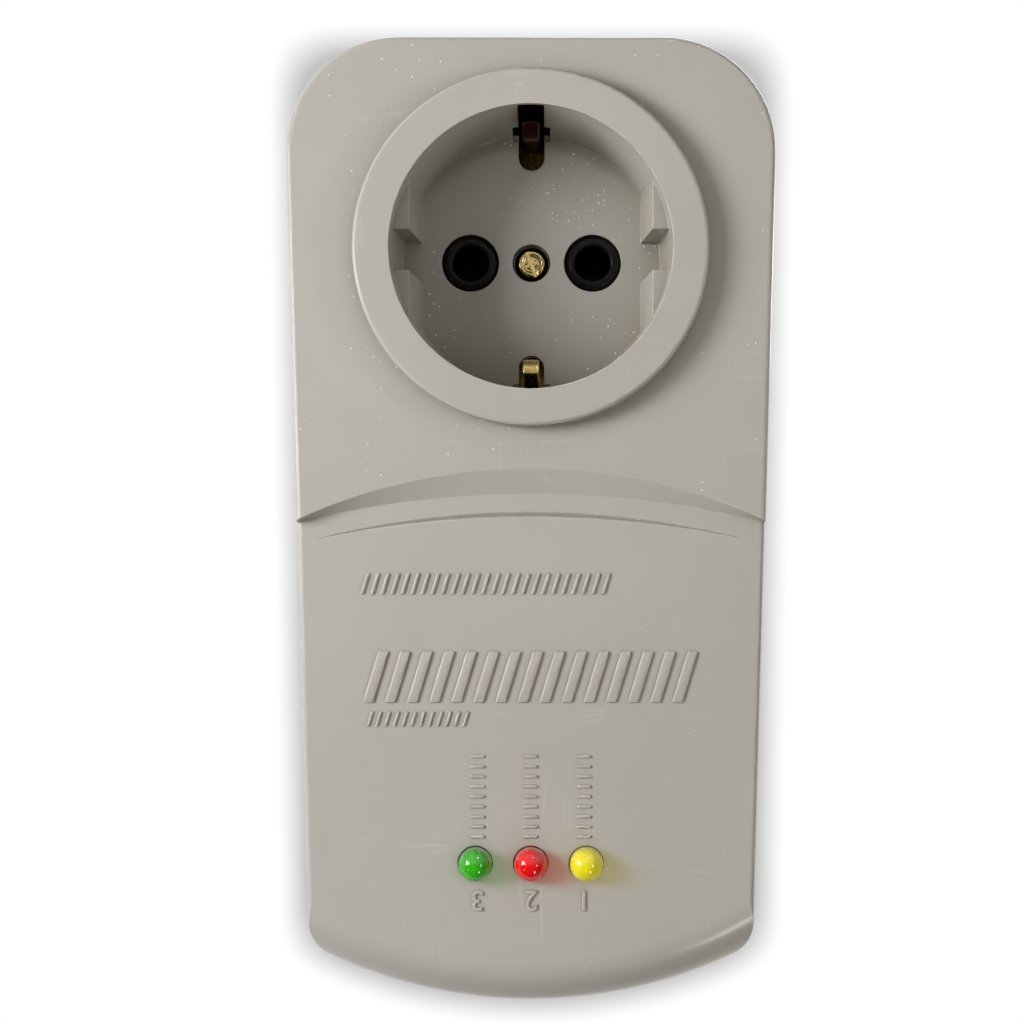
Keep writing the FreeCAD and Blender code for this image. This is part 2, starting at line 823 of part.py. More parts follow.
def make_rear_shell():
    form = shaped("rear_form", rear_form())
    neck = rod("neck", "sizes.neck_radius", "0", "places.rear_inside")
    well_radius = "sizes.shell_well_radius + sizes.shell_well_wall"
    solids = [form, neck]
    bounds = shaped("rear_bounds", prism(outline(size("back_round"), place("parting")),
                                         place("parting"), place("back_plane")))
    wells = []
    for index, (x, z) in enumerate(post_spots):
        wells.append(rod("well_%d" % index, well_radius, "places.back_plane",
                         "places.parting", x, z))
    trimmed = doc.addObject("Part::Common", "wells_trimmed")
    trimmed.Base = bounds
    trimmed.Tool = join("wells", *wells)
    solids.append(trimmed)
    whole = join("rear_solids", *solids)
    bored = carve("rear_bored", whole, rod("neck_hollow", "sizes.neck_bore",
                                           "-sizes.face_wall",
                                           "places.rear_inside - places.overcut"))
    pillar = rod("pillar", "sizes.pillar_radius", "-sizes.face_wall / 2", "places.bridge_back")
    filled = join("rear_filled", bored, pillar)
    tools = [rod("pillar_pilot", "sizes.screw_radius + sizes.thread_gap",
                 "places.head_seat + sizes.screw_length + sizes.pilot_spare",
                 "places.bridge_back")]
    for name, x in pin_spots.items():
        tools.append(rod("pin_hole_" + name, "sizes.pin_seat_radius + sizes.thread_gap",
                         "places.overcut", "-sizes.face_wall - places.overcut", x))
    tools.append(shaped("lip_rebate", lip_rebate()))
    tools += neck_channel_tools("channel_top", "")
    tools += neck_channel_tools("channel_bottom", "-")
    for index, sign in enumerate(("", "-")):
        flat = "%ssizes.neck_flat" % sign
        groove = "%ssizes.neck_groove_x" % sign
        far = "%s(sizes.neck_radius + places.overcut)" % sign
        flat_span = (flat, far) if sign == "" else (far, flat)
        groove_span = (groove, far) if sign == "" else (far, groove)
        along = ("places.back_plane", "places.overcut")
        tools.append(block("neck_flat_%d" % index, flat_span, along,
                           around("0", "sizes.neck_radius")))
        tools.append(block("neck_groove_%d" % index, groove_span, along,
                           around("0", "sizes.neck_groove / 2")))
    for index, (x, z) in enumerate(post_spots):
        tools.append(rod("well_bore_%d" % index, "sizes.shell_well_radius",
                         "places.back_plane + places.overcut",
                         "places.shell_screw_seat", x, z))
        tools.append(rod("well_hole_%d" % index, "sizes.shell_screw_radius + sizes.screw_gap",
                         "places.shell_screw_seat", "places.parting - places.overcut", x, z))
    keep("rear_shell", carve("rear_shell", filled, *tools))


# Socket side

def make_contact_carrier():
    body = block("carrier_block", around("0", "sizes.carrier_half_width"),
                 ("places.floor_back", "places.carrier_back"),
                 around("0", "sizes.carrier_half_height"))
    solids = [body]
    boss_face = "places.floor_face - sizes.boss_rise"
    bevel_foot = boss_face + " + sizes.boss_bevel"
    behind = "places.carrier_back + places.overcut"
    tools = [rod("carrier_hole", "sizes.screw_radius + sizes.screw_gap", behind,
                 "places.floor_back - places.overcut")]
    chamber_front = "places.floor_back + sizes.bore_wall"
    for name, x in pin_spots.items():
        solids.append(rod("boss_" + name, "sizes.boss_radius", "places.floor_back",
                          bevel_foot, x))
        solids.append(taper("boss_top_" + name, "sizes.boss_radius",
                            "sizes.boss_radius - sizes.boss_bevel", bevel_foot, boss_face, x))
        tools.append(rod("bore_" + name, "sizes.bore_radius", chamber_front,
                         boss_face + " - places.overcut", x))
        tools.append(taper("mouth_" + name, "sizes.bore_radius",
                           "sizes.bore_radius + sizes.bore_chamfer",
                           boss_face + " + sizes.bore_chamfer", boss_face, x))
        tools.append(block("chamber_" + name, around(x, "sizes.chamber_half_width"),
                           (chamber_front, behind),
                           around("0", "sizes.chamber_half_height")))
        tools.append(block("tab_way_" + name, around(x, "sizes.tab_half_width + sizes.screw_gap"),
                           ("places.contact_base - sizes.screw_gap", behind),
                           ("-sizes.carrier_half_height - places.overcut", "0")))
    keep("contact_carrier", carve("contact_carrier", join("carrier_solids", *solids), *tools))


# Spring contact bent from one strip: a base and two leaves that pinch a plug pin.
def contact_profile(x):
    metal = "sizes.contact_metal"
    bend = "places.contact_base - sizes.contact_metal"
    throat = "places.contact_front + sizes.contact_mouth"
    right = [("sizes.contact_half_width", "places.contact_back"),
             ("sizes.contact_half_width", bend),
             ("sizes.throat_half_gap + " + metal, throat),
             ("sizes.mouth_half_gap + " + metal, "places.contact_front"),
             ("sizes.mouth_half_gap", "places.contact_front"),
             ("sizes.throat_half_gap", throat),
             ("sizes.contact_half_width - " + metal, bend),
             ("sizes.contact_half_width - " + metal, "places.contact_base")]
    corners = [("%s + %s" % (x, across), along) for across, along in right]
    corners += [("%s - (%s)" % (x, across), along) for across, along in reversed(right)]
    return corners


def make_contact(name, x):
    leaves = extruded("leaves_" + name, "XY_Plane", contact_profile(x),
                      "-sizes.contact_half_height", "sizes.contact_half_height")
    tab = block("tab_" + name, around(x, "sizes.tab_half_width"),
                ("places.contact_base", "places.contact_back"), ("-sizes.tab_drop", "0"))
    keep("contact_" + name, join("contact_" + name, leaves, tab))


def make_plug_pin(name, x):
    keep("plug_pin_" + name, turned("plug_pin_" + name, [
        ("0", "sizes.pin_length"),
        ("sizes.pin_tip_radius", "sizes.pin_length"),
        ("sizes.pin_radius", "sizes.pin_length - sizes.pin_tip_length"),
        ("sizes.pin_radius", "0"),
        ("sizes.pin_seat_radius", "0"),
        ("sizes.pin_seat_radius", "-sizes.face_wall"),
        ("sizes.pin_flange_radius", "-sizes.face_wall"),
        ("sizes.pin_flange_radius", "places.pin_flange_back"),
        ("sizes.pin_tail_radius", "places.pin_flange_back"),
        ("sizes.pin_tail_radius", "places.pin_tail_end"),
        ("0", "places.pin_tail_end"),
    ], x))


# Earthing strip behind the carrier. Its two upturned ends carry the clips.
def make_earth_bridge():
    right = [("places.bridge_back", "places.clip_outer"),
             ("places.clip_foot", "places.clip_outer"),
             ("places.clip_foot", "sizes.clip_radius"),
             ("places.carrier_back", "sizes.clip_radius")]
    corners = right + [(along, "-" + height) for along, height in reversed(right)]
    strip = extruded("bridge_strip", "YZ_Plane", corners, "-sizes.bridge_half_width",
                     "sizes.bridge_half_width")
    hole = rod("bridge_hole", "sizes.screw_radius + sizes.screw_gap",
               "places.bridge_back + places.overcut", "places.carrier_back - places.overcut")
    keep("earth_bridge", carve("earth_bridge", strip, hole))


# Sprung clip that stands in the recess slot. Side is + or -.
def make_earth_clip(name, side):
    crest = "places.clip_crest"
    bend = crest + " + sizes.clip_bend"
    metal = "sizes.earth_metal"
    profile = [("places.clip_foot", "sizes.clip_radius"),
               ("places.clip_foot", "places.clip_outer"),
               (bend, "places.clip_outer"),
               (crest, "sizes.clip_crest_radius + sizes.clip_slant_share * " + metal),
               ("places.clip_end + sizes.clip_tip_along_share * " + metal,
                "sizes.clip_tip_radius + sizes.clip_tip_across_share * " + metal),
               ("places.clip_end", "sizes.clip_tip_radius"),
               (crest, "sizes.clip_crest_radius"),
               (bend, "sizes.clip_radius")]
    corners = [(along, "%s(%s)" % (side, height)) for along, height in profile]
    keep(name, extruded(name, "YZ_Plane", corners, "-sizes.clip_half_width",
                        "sizes.clip_half_width"))


# Earth strip on the plug's neck, bent in behind the back wall to lie on the bridge.
def make_plug_earth(name, side):
    outer = "sizes.plug_earth_radius + sizes.earth_metal"
    profile = [("-sizes.plug_earth_set_back", "sizes.plug_earth_radius"),
               ("-sizes.plug_earth_set_back", outer),
               ("places.bridge_back", outer),
               ("places.bridge_back", "sizes.plug_earth_foot"),
               ("places.plug_foot_back", "sizes.plug_earth_foot"),
               ("places.plug_foot_back", "sizes.plug_earth_radius")]
    corners = [(along, "%s(%s)" % (side, height)) for along, height in profile]
    keep(name, extruded(name, "YZ_Plane", corners, "-sizes.plug_earth_half_width",
                        "sizes.plug_earth_half_width"))


# Fasteners

def screw(name, head_radius, head, radius, length, seat, x, z):
    bevel = "sizes.head_bevel_share * (%s)" % head
    return turned(name, [
        ("0", "%s - %s" % (seat, head)),
        ("%s - %s" % (head_radius, bevel), "%s - %s" % (seat, head)),
        (head_radius, "%s - %s + %s" % (seat, head, bevel)),
        (head_radius, seat),
        (radius, seat),
        (radius, "%s + %s - %s" % (seat, length, radius)),
        ("0", "%s + %s" % (seat, length)),
    ], x, z)


# A screw that is driven from the back and points forward.
def rear_screw(name, head_radius, head, radius, length, seat, x, z):
    bevel = "sizes.head_bevel_share * (%s)" % head
    return turned(name, [
        ("0", "%s + %s" % (seat, head)),
        ("%s - %s" % (head_radius, bevel), "%s + %s" % (seat, head)),
        (head_radius, "%s + %s - %s" % (seat, head, bevel)),
        (head_radius, seat),
        (radius, seat),
        (radius, "%s - %s + %s" % (seat, length, radius)),
        ("0", "%s - %s" % (seat, length)),
    ], x, z)


def slot_tool(name, angle, half_length, half_width, y, middle):
    item = doc.addObject("Part::Box", name)
    item.setExpression("Length", "2 * (%s)" % half_length)
    item.setExpression("Width", "(%s) - (%s)" % (y[1], y[0]))
    item.setExpression("Height", "2 * (%s)" % half_width)
    turn = Rotation(Vector(0, 1, 0), angle)
    corner = turn.multVec(Vector(-1, 0, 0))
    rise = turn.multVec(Vector(0, 0, -1))
    item.Placement = Placement(Vector(), turn)
    x, z = middle
    move_to(item,
            "%s + (%.9f) * (%s) + (%.9f) * (%s)" % (x, corner.x, half_length, rise.x, half_width),
            y[0],
            "%s + (%.9f) * (%s) + (%.9f) * (%s)" % (z, corner.z, half_length, rise.z, half_width))
    return item


def make_centre_screw():
    blank = screw("centre_screw_blank", "sizes.screw_head_radius", "sizes.screw_head",
                  "sizes.screw_radius", "sizes.screw_length", "places.head_seat", "0", "0")
    top = "places.head_seat - sizes.screw_head"
    depth = (top + " - places.overcut", top + " + sizes.screw_slot_depth")
    half = "sizes.screw_slot / 2"
    angle = size("screw_slot_angle")
    middle = ("0", "0")
    slot = slot_tool("centre_slot", angle, "sizes.screw_head_radius + places.overcut", half,
                     depth, middle)
    cross = slot_tool("centre_cross", angle - 90,
                      "sizes.screw_head_radius * sizes.screw_cross_share", half, depth, middle)
    keep("centre_screw", carve("centre_screw", blank, slot, cross))


def make_shell_screws():
    items = []
    for index, (x, z) in enumerate(post_spots):
        items.append(rear_screw("shell_screw_%d" % index, "sizes.shell_screw_head_radius",
                                "sizes.shell_screw_head", "sizes.shell_screw_radius",
                                "sizes.shell_screw_length", "places.shell_screw_seat", x, z))
    keep("shell_screws", group("shell_screws", items))


def make_board_screws():
    items = []
    for index, (x, z) in enumerate(standoff_spots):
        items.append(rear_screw("board_screw_%d" % index, "sizes.board_screw_head_radius",
                                "sizes.board_screw_head", "sizes.board_screw_radius",
                                "sizes.board_screw_length", "places.board_rear", x, z))
    keep("board_screws", group("board_screws", items))


# Circuit board and lamps

lead_spots = []


def lead(x, z):
    lead_spots.append((x, z))


def make_led(name, x):
    height = "sizes.led_height"
    body = rod(name + "_body", "sizes.led_radius", "places.led_shoulder",
               "places.led_tip + sizes.led_radius", x, height)
    flange = rod(name + "_flange", "sizes.led_flange_radius", "places.led_back",
                 "places.led_shoulder", x, height)
    dome = doc.addObject("Part::Sphere", name + "_dome")
    dome.setExpression("Radius", "sizes.led_radius")
    move_to(dome, x, "places.led_tip + sizes.led_radius", height)
    keep(name, join(name, body, flange, dome))


def led_lead_spots():
    for x in led_spots.values():
        for sign in ("-", "+"):
            yield "%s %s sizes.lead_pitch / 2" % (x, sign)


def make_led_leads():
    items = []
    for index, x in enumerate(led_lead_spots()):
        items.append(rod("led_lead_%d" % index, "sizes.lead_radius", "places.led_lead_end",
                         "places.led_back", x, "sizes.led_height"))
    keep("led_leads", group("led_leads", items))


def make_main_board():
    plate = block("board_plate", around("0", "sizes.board_half_width"),
                  ("places.board_front", "places.board_rear"),
                  ("sizes.board_bottom", "sizes.board_top"))
    tools = []
    behind = "places.board_rear + places.overcut"
    ahead = "places.board_front - places.overcut"
    for index, (x, z) in enumerate(standoff_spots):
        tools.append(rod("board_hole_%d" % index, "sizes.board_screw_radius + sizes.screw_gap",
                         behind, ahead, x, z))
    drilled = [(x, "sizes.led_height") for x in led_lead_spots()] + lead_spots
    for index, (x, z) in enumerate(drilled):
        tools.append(rod("lead_hole_%d" % index, "sizes.lead_radius + sizes.lead_gap",
                         behind, ahead, x, z))
    keep("main_board", carve("main_board", plate, *tools))


# Straight leads from the parts' undersides through the board.
def make_component_leads():
    items = []
    for index, (x, z) in enumerate(lead_spots):
        items.append(rod("lead_%d" % index, "sizes.lead_radius", "places.board_rear",
                         "places.board_front - sizes.lead_tail", x, z))
    keep("component_leads", group("component_leads", items))


# Relay

def make_relay():
    x = "sizes.relay_x"
    span = around(x, "sizes.relay_half_width")
    tall = ("places.relay_bottom", "sizes.relay_top")
    coil = "places.coil_z"
    keep("relay_base", block("relay_base", span, ("places.board_rear", "places.relay_floor"),
                             tall))
    outside = block("relay_case_block", span, ("places.relay_floor", "places.relay_back"), tall)
    wall = "sizes.relay_case_wall"
    inside = block("relay_case_hollow", around(x, "sizes.relay_half_width - " + wall),
                   ("places.relay_floor", "places.relay_back - " + wall),
                   ("places.relay_bottom + " + wall, "sizes.relay_top - " + wall))
    keep("relay_case", carve("relay_case", outside, inside))
    for sign in ("-", "+"):
        lead("%s %s sizes.bobbin_radius" % (x, sign), "sizes.relay_top - sizes.post_half_width")
        lead("%s %s sizes.post_half_width" % (x, sign), "places.contact_z")

    keep("relay_core", turned("relay_core", [
        ("0", "places.core_face"),
        ("sizes.core_head_radius", "places.core_face"),
        ("sizes.core_head_radius", "places.bobbin_back"),
        ("sizes.core_radius", "places.bobbin_back"),
        ("sizes.core_radius", "places.relay_floor"),
        ("0", "places.relay_floor"),
    ], x, coil))
    hub = "sizes.core_radius + sizes.thread_gap"
    hub_outer = hub + " + sizes.bobbin_hub"
    inner_flange = "places.yoke_top + sizes.bobbin_flange"
    outer_flange = "places.bobbin_back - sizes.bobbin_flange"
    keep("relay_bobbin", turned("relay_bobbin", [
        (hub, "places.yoke_top"),
        ("sizes.bobbin_radius", "places.yoke_top"),
        ("sizes.bobbin_radius", inner_flange),
        (hub_outer, inner_flange),
        (hub_outer, outer_flange),
        ("sizes.bobbin_radius", outer_flange),
        ("sizes.bobbin_radius", "places.bobbin_back"),
        (hub, "places.bobbin_back"),
    ], x, coil))
    wound = hub_outer + " + sizes.thread_gap"
    keep("relay_winding", turned("relay_winding", [
        (wound, inner_flange), ("sizes.winding_radius", inner_flange),
        ("sizes.winding_radius", outer_flange), (wound, outer_flange),
    ], x, coil))

    yoke = extruded("yoke_strip", "YZ_Plane", [
        ("places.relay_floor", "places.yoke_outer_z"),
        ("places.armature_face", "places.yoke_outer_z"),
        ("places.armature_face", "places.yoke_inner_z"),
        ("places.yoke_top", "places.yoke_inner_z"),
        ("places.yoke_top", coil + " - sizes.bobbin_radius"),
        ("places.relay_floor", coil + " - sizes.bobbin_radius"),
    ], *around(x, "sizes.yoke_half_width"))
    hole = rod("yoke_hole", hub, "places.yoke_top + places.overcut",
               "places.relay_floor - places.overcut", x, coil)
    keep("relay_yoke", carve("relay_yoke", yoke, hole))

    keep("relay_armature", block(
        "relay_armature", around(x, "sizes.armature_half_width"),
        ("places.armature_face", "places.armature_back"),
        (coil + " - sizes.armature_past_core", "places.yoke_outer_z")))
    spring_end = "places.contact_z - sizes.spring_past_contact"
    keep("relay_contact_spring", block(
        "relay_contact_spring", around(x, "sizes.leaf_half_width"),
        ("places.armature_back", "places.armature_back + sizes.leaf_metal"),
        (spring_end, coil + " - sizes.armature_past_core + sizes.spring_overlap")))
    keep("relay_moving_contact", rod("relay_moving_contact", "sizes.button_radius",
                                     "places.armature_back", "places.moving_face", x,
                                     "places.contact_z"))
    leaf_front = "places.armature_back + sizes.leaf_gap"
    leaf_back = leaf_front + " + sizes.leaf_metal"
    leaf_outer = "places.yoke_outer_z + sizes.leaf_metal"
    leaf_end = "places.yoke_outer_z - sizes.leaf_overlap"
    keep("relay_return_leaf", extruded("relay_return_leaf", "YZ_Plane", [
        ("places.yoke_top", "places.yoke_outer_z"),
        (leaf_front, "places.yoke_outer_z"),
        (leaf_front, leaf_end),
        (leaf_back, leaf_end),
        (leaf_back, leaf_outer),
        ("places.yoke_top", leaf_outer),
    ], *around(x, "sizes.leaf_half_width")))
    keep("relay_fixed_post", block(
        "relay_fixed_post", around(x, "sizes.post_half_width"),
        ("places.relay_floor", "places.fixed_seat"),
        around("places.contact_z", "sizes.post_metal / 2")))
    keep("relay_fixed_contact", rod("relay_fixed_contact", "sizes.button_radius",
                                    "places.fixed_face", "places.fixed_seat", x,
                                    "places.contact_z"))


# Parts on the rear of the board

def make_film_capacitor():
    x, z = "sizes.film_cap_x", "sizes.film_cap_z"
    body = block("film_block", around(x, "sizes.film_cap_half_width"),
                 ("places.board_rear", "places.board_rear + sizes.film_cap_tall"),
                 around(z, "sizes.film_cap_half_height"))
    item = doc.addObject("Part::Fillet", "dropper_capacitor")
    item.Base = body
    doc.recompute()
    top = place("board_rear") + size("film_cap_tall")
    radius = size("film_cap_round")
    item.Edges = [(index, radius, radius) for index, edge in enumerate(body.Shape.Edges, start=1)
                  if abs(edge.CenterOfMass.y - top) < near]
    keep("dropper_capacitor", item)
    for sign in ("-", "+"):
        lead(x, "%s %s sizes.film_cap_lead_spacing / 2" % (z, sign))


def make_smoothing_capacitor():
    x, z = "sizes.can_x", "sizes.can_z"
    top = "places.board_rear + sizes.can_tall"
    keep("smoothing_capacitor", turned("smoothing_capacitor", [
        ("0", "places.board_rear"),
        ("sizes.can_radius", "places.board_rear"),
        ("sizes.can_radius", top + " - sizes.can_round"),
        ("sizes.can_radius - sizes.can_round", top),
        ("0", top),
    ], x, z))
    for sign in ("-", "+"):
        lead(x, "%s %s sizes.can_radius / 2" % (z, sign))


def make_surge_disc():
    item = doc.addObject("Part::Cylinder", "surge_absorber")
    item.Placement = Placement(Vector(), Rotation(Vector(0, 1, 0), 90))
    item.setExpression("Radius", "sizes.disc_radius")
    item.setExpression("Height", "sizes.disc_thick")
    level = "places.board_rear + sizes.disc_stand + sizes.disc_radius"
    move_to(item, "sizes.disc_x - sizes.disc_thick / 2", level, "sizes.disc_z")
    foot = block("disc_foot", around("sizes.disc_x", "sizes.disc_thick / 2"),
                 ("places.board_rear", level), around("sizes.disc_z", "sizes.disc_foot_half"))
    keep("surge_absorber", join("surge_absorber_body", item, foot))
    for sign in ("-", "+"):
        lead("sizes.disc_x", "sizes.disc_z %s sizes.disc_radius / 2" % sign)


def make_control_chip():
    x, z = "sizes.chip_x", "sizes.chip_z"
    under = "places.board_rear + sizes.chip_stand"
    keep("control_chip", block(
        "control_chip", around(x, "sizes.chip_half_length"),
        (under, under + " + sizes.chip_thick"), around(z, "sizes.chip_half_width")))
    legs = []
    pitch = "sizes.lead_pitch"
    for step in range(-3, 4):
        for side in ("-", "+"):
            leg_x = "%s + (%d) * %s" % (x, step, pitch)
            leg_z = "%s %s (sizes.chip_half_width + sizes.lead_radius)" % (z, side)
            lead(leg_x, leg_z)
            row = "low" if side == "-" else "high"
            legs.append(rod("chip_leg_%d_%s" % (len(legs), row),
                            "sizes.lead_radius", under + " + sizes.chip_thick / 2",
                            "places.board_rear", leg_x, leg_z))
    keep("chip_legs", group("chip_legs", legs))


def make_trimmer(name, x):
    z = "sizes.trimmer_z"
    top = "places.board_rear + sizes.trimmer_tall"
    seat = top + " - sizes.rotor_thick"
    body = block(name + "_block", around(x, "sizes.trimmer_half"),
                 ("places.board_rear", top), around(z, "sizes.trimmer_half"))
    above = top + " + places.overcut"
    well = rod(name + "_well", "sizes.rotor_radius + sizes.rotor_gap", above, seat, x, z)
    keep(name + "_body", carve(name + "_body", body, well))
    disc = rod(name + "_disc", "sizes.rotor_radius", top, seat, x, z)
    slot = slot_tool(name + "_slot", size("rotor_slot_angle"), "sizes.rotor_slot_half_length",
                     "sizes.rotor_slot / 2", (top + " - sizes.rotor_thick / 2", above), (x, z))
    keep(name + "_rotor", carve(name + "_rotor", disc, slot))
    for step in ("-1", "0", "1"):
        lead("%s + (%s) * sizes.lead_pitch" % (x, step), z)


def make_transistor():
    x, z = "sizes.transistor_x", "sizes.transistor_z"
    under = "places.board_rear + sizes.transistor_stand"
    round_part = rod("transistor_round", "sizes.transistor_radius",
                     under + " + sizes.transistor_tall", under, x, z)
    past = "sizes.transistor_radius + places.overcut"
    flat = block("transistor_flat", around(x, past),
                 (under + " - places.overcut", under + " + sizes.transistor_tall + places.overcut"),
                 (z + " + sizes.transistor_flat", "%s + %s" % (z, past)))
    keep("relay_transistor", carve("relay_transistor", round_part, flat))
    legs = []
    for index, step in enumerate(("-1", "0", "1")):
        leg_x = "%s + (%s) * sizes.lead_pitch / 2" % (x, step)
        lead(leg_x, z)
        legs.append(rod("transistor_leg_%d" % index, "sizes.lead_radius", under,
                        "places.board_rear", leg_x, z))
    keep("transistor_legs", group("transistor_legs", legs))


# Small parts that lie along Z with a bent lead at each end.
def lying_parts(name, spots, radius, half_length):
    bodies = []
    bends = []
    level = "places.board_rear + %s + sizes.lead_gap" % radius
    for index, x in enumerate(spots):
        body = doc.addObject("Part::Cylinder", "%s_%d" % (name, index))
        body.setExpression("Radius", radius)
        body.setExpression("Height", "2 * (%s)" % half_length)
        move_to(body, x, level, "sizes.axial_z - " + half_length)
        bodies.append(body)
        for sign in ("-", "+"):
            mark = "%s_%d_%s" % (name, index, "low" if sign == "-" else "high")
            stub = doc.addObject("Part::Cylinder", mark + "_stub")
            stub.setExpression("Radius", "sizes.lead_radius")
            stub.setExpression("Height", "sizes.axial_lead")
            reach = half_length if sign == "+" else "(%s + sizes.axial_lead)" % half_length
            move_to(stub, x, level, "sizes.axial_z %s %s" % (sign, reach))
            end_z = "sizes.axial_z %s (%s + sizes.axial_lead)" % (sign, half_length)
            down = rod(mark + "_down", "sizes.lead_radius", level + " + sizes.lead_elbow",
                       "places.board_rear", x, end_z)
            bends.append(join(mark + "_bend", stub, down))
            lead(x, end_z)
    keep(name, group(name, bodies))
    return bends


def make_lying_parts():
    bends = lying_parts("rectifier_diodes",
                        ["sizes.diode_x + %d * sizes.axial_pitch" % k for k in range(4)],
                        "sizes.diode_radius", "sizes.diode_half_length")
    bends += lying_parts("resistors",
                         ["sizes.resistor_x + %d * sizes.axial_pitch" % k for k in range(3)],
                         "sizes.resistor_radius", "sizes.resistor_half_length")
    bends += lying_parts("zener_diode", ["sizes.zener_x"], "sizes.zener_radius",
                         "sizes.zener_half_length")
    keep("bent_leads", group("bent_leads", bends))


# Wiring

tab_spots = {"live_in": "sizes.live_in_x", "live_out": "sizes.live_out_x",
             "neutral": "sizes.neutral_x"}


def make_terminal_tabs():
    items = []
    for name, x in tab_spots.items():
        items.append(block("terminal_" + name, around(x, "sizes.tab_width / 2"),
                           ("places.board_rear", "places.tab_end"),
                           around("sizes.tabs_z", "sizes.tab_thick / 2")))
        for sign in ("-", "+"):
            lead("%s %s sizes.tab_width / 4" % (x, sign), "sizes.tabs_z")
    keep("terminal_tabs", group("terminal_tabs", items))


arc_share = 0.45


# A wire of round section along straight runs that are joined by tangent arcs. Each arc takes
# arc_share of the shorter of its two runs.
def wire_shape(name, points, radius):
    edges = []
    here = points[0]
    for before, corner, after in zip(points, points[1:], points[2:]):
        back = before - corner
        ahead = after - corner
        shorter = min(back.Length, ahead.Length)
        turn = math.pi - back.getAngle(ahead)
        reach = arc_share * shorter
        bend = reach / math.tan(turn / 2)
        back.normalize()
        ahead.normalize()
        first = corner + back * reach
        last = corner + ahead * reach
        bisector = back + ahead
        bisector.normalize()
        middle = corner + bisector * (math.hypot(bend, reach) - bend)
        edges.append(Part.makeLine(here, first))
        edges.append(Part.Arc(first, middle, last).toShape())
        here = last
        print("%s bend radius %.1f" % (name, bend))
    edges.append(Part.makeLine(here, points[-1]))
    path = Part.Wire(edges)
    ring = Part.Wire(Part.makeCircle(radius, points[0], points[1] - points[0]))
    tube = path.makePipeShell([ring], True, False)
    expected = math.pi * radius * radius * path.Length
    print("%s length %.1f, volume ratio %.4f" % (name, path.Length, tube.Volume / expected))
    return tube


def make_wires():
    pin = size("pin_offset")
    tail = place("pin_tail_end")
    level = place("wire_level")
    tab = place("tab_end")
    height = size("tabs_z")
    middle = (place("contact_back") + place("contact_base")) / 2
    low_end = -size("tab_drop")
    low_turn = -size("front_wire_drop")
    rise = middle - size("front_wire_rise")
    x = size("live_in_x")
    keep("live_in_wire", shaped("live_in_wire", wire_shape("live_in_wire", [
        Vector(-pin, tail, 0), Vector(-pin, level, 0), Vector(-pin, level, -size("live_in_drop")),
        Vector(x, level - size("live_in_rise"), height), Vector(x, tab, height)],
        size("wire_radius"))))
    x = size("live_out_x")
    keep("live_out_wire", shaped("live_out_wire", wire_shape("live_out_wire", [
        Vector(-pin, middle, low_end), Vector(-pin, middle, low_turn),
        Vector(x, rise, height), Vector(x, tab, height)], size("wire_radius"))))
    x = size("neutral_x")
    keep("neutral_sense_wire", shaped("neutral_sense_wire", wire_shape("neutral_sense_wire", [
        Vector(pin, middle, low_end), Vector(pin, middle, low_turn),
        Vector(x, rise, height), Vector(x, tab, height)], size("thin_wire_radius"))))


def check_and_export():
    doc.recompute()
    for item in doc.Objects:
        if "Invalid" in item.State or "Error" in item.State:
            raise RuntimeError("%s did not build: %s" % (item.Name, item.State))
    for name, item in finished.items():
        shape = item.Shape
        if shape.isNull() or not shape.isValid() or not shape.Solids:
            raise RuntimeError("%s has no valid solid" % name)
        shape.exportStep("parts/%s.step" % name)
        box = shape.BoundBox
        print("%-24s solids %2d volume %9.2f x %.1f..%.1f y %.1f..%.1f z %.1f..%.1f" % (
            name, len(shape.Solids), shape.Volume, box.XMin, box.XMax, box.YMin, box.YMax,
            box.ZMin, box.ZMax))


make_front_shell()
make_rear_shell()
make_contact_carrier()
for pole, offset in pin_spots.items():
    make_contact(pole, offset)
    make_plug_pin(pole, offset)
keep("neutral_link", rod("neutral_link", "sizes.link_radius", "places.pin_tail_end",
                         "places.contact_back", "sizes.pin_offset"))
make_earth_bridge()
make_earth_clip("earth_clip_top", "")
make_earth_clip("earth_clip_bottom", "-")
make_plug_earth("plug_earth_top", "")
make_plug_earth("plug_earth_bottom", "-")
make_centre_screw()
make_shell_screws()
make_board_screws()
for lamp, offset in led_spots.items():
    make_led(lamp, offset)
make_led_leads()
make_relay()
make_film_capacitor()
make_smoothing_capacitor()
make_surge_disc()
make_control_chip()
make_trimmer("low_trimmer", "sizes.trimmer_x")
make_trimmer("high_trimmer", "sizes.trimmer_x + sizes.trimmer_pitch")
make_transistor()
make_lying_parts()
make_terminal_tabs()
make_component_leads()
make_main_board()
make_wires()
check_and_export()
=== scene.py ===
import math

import bmesh
import bpy
import numpy as np
from mathutils import Matrix, Vector


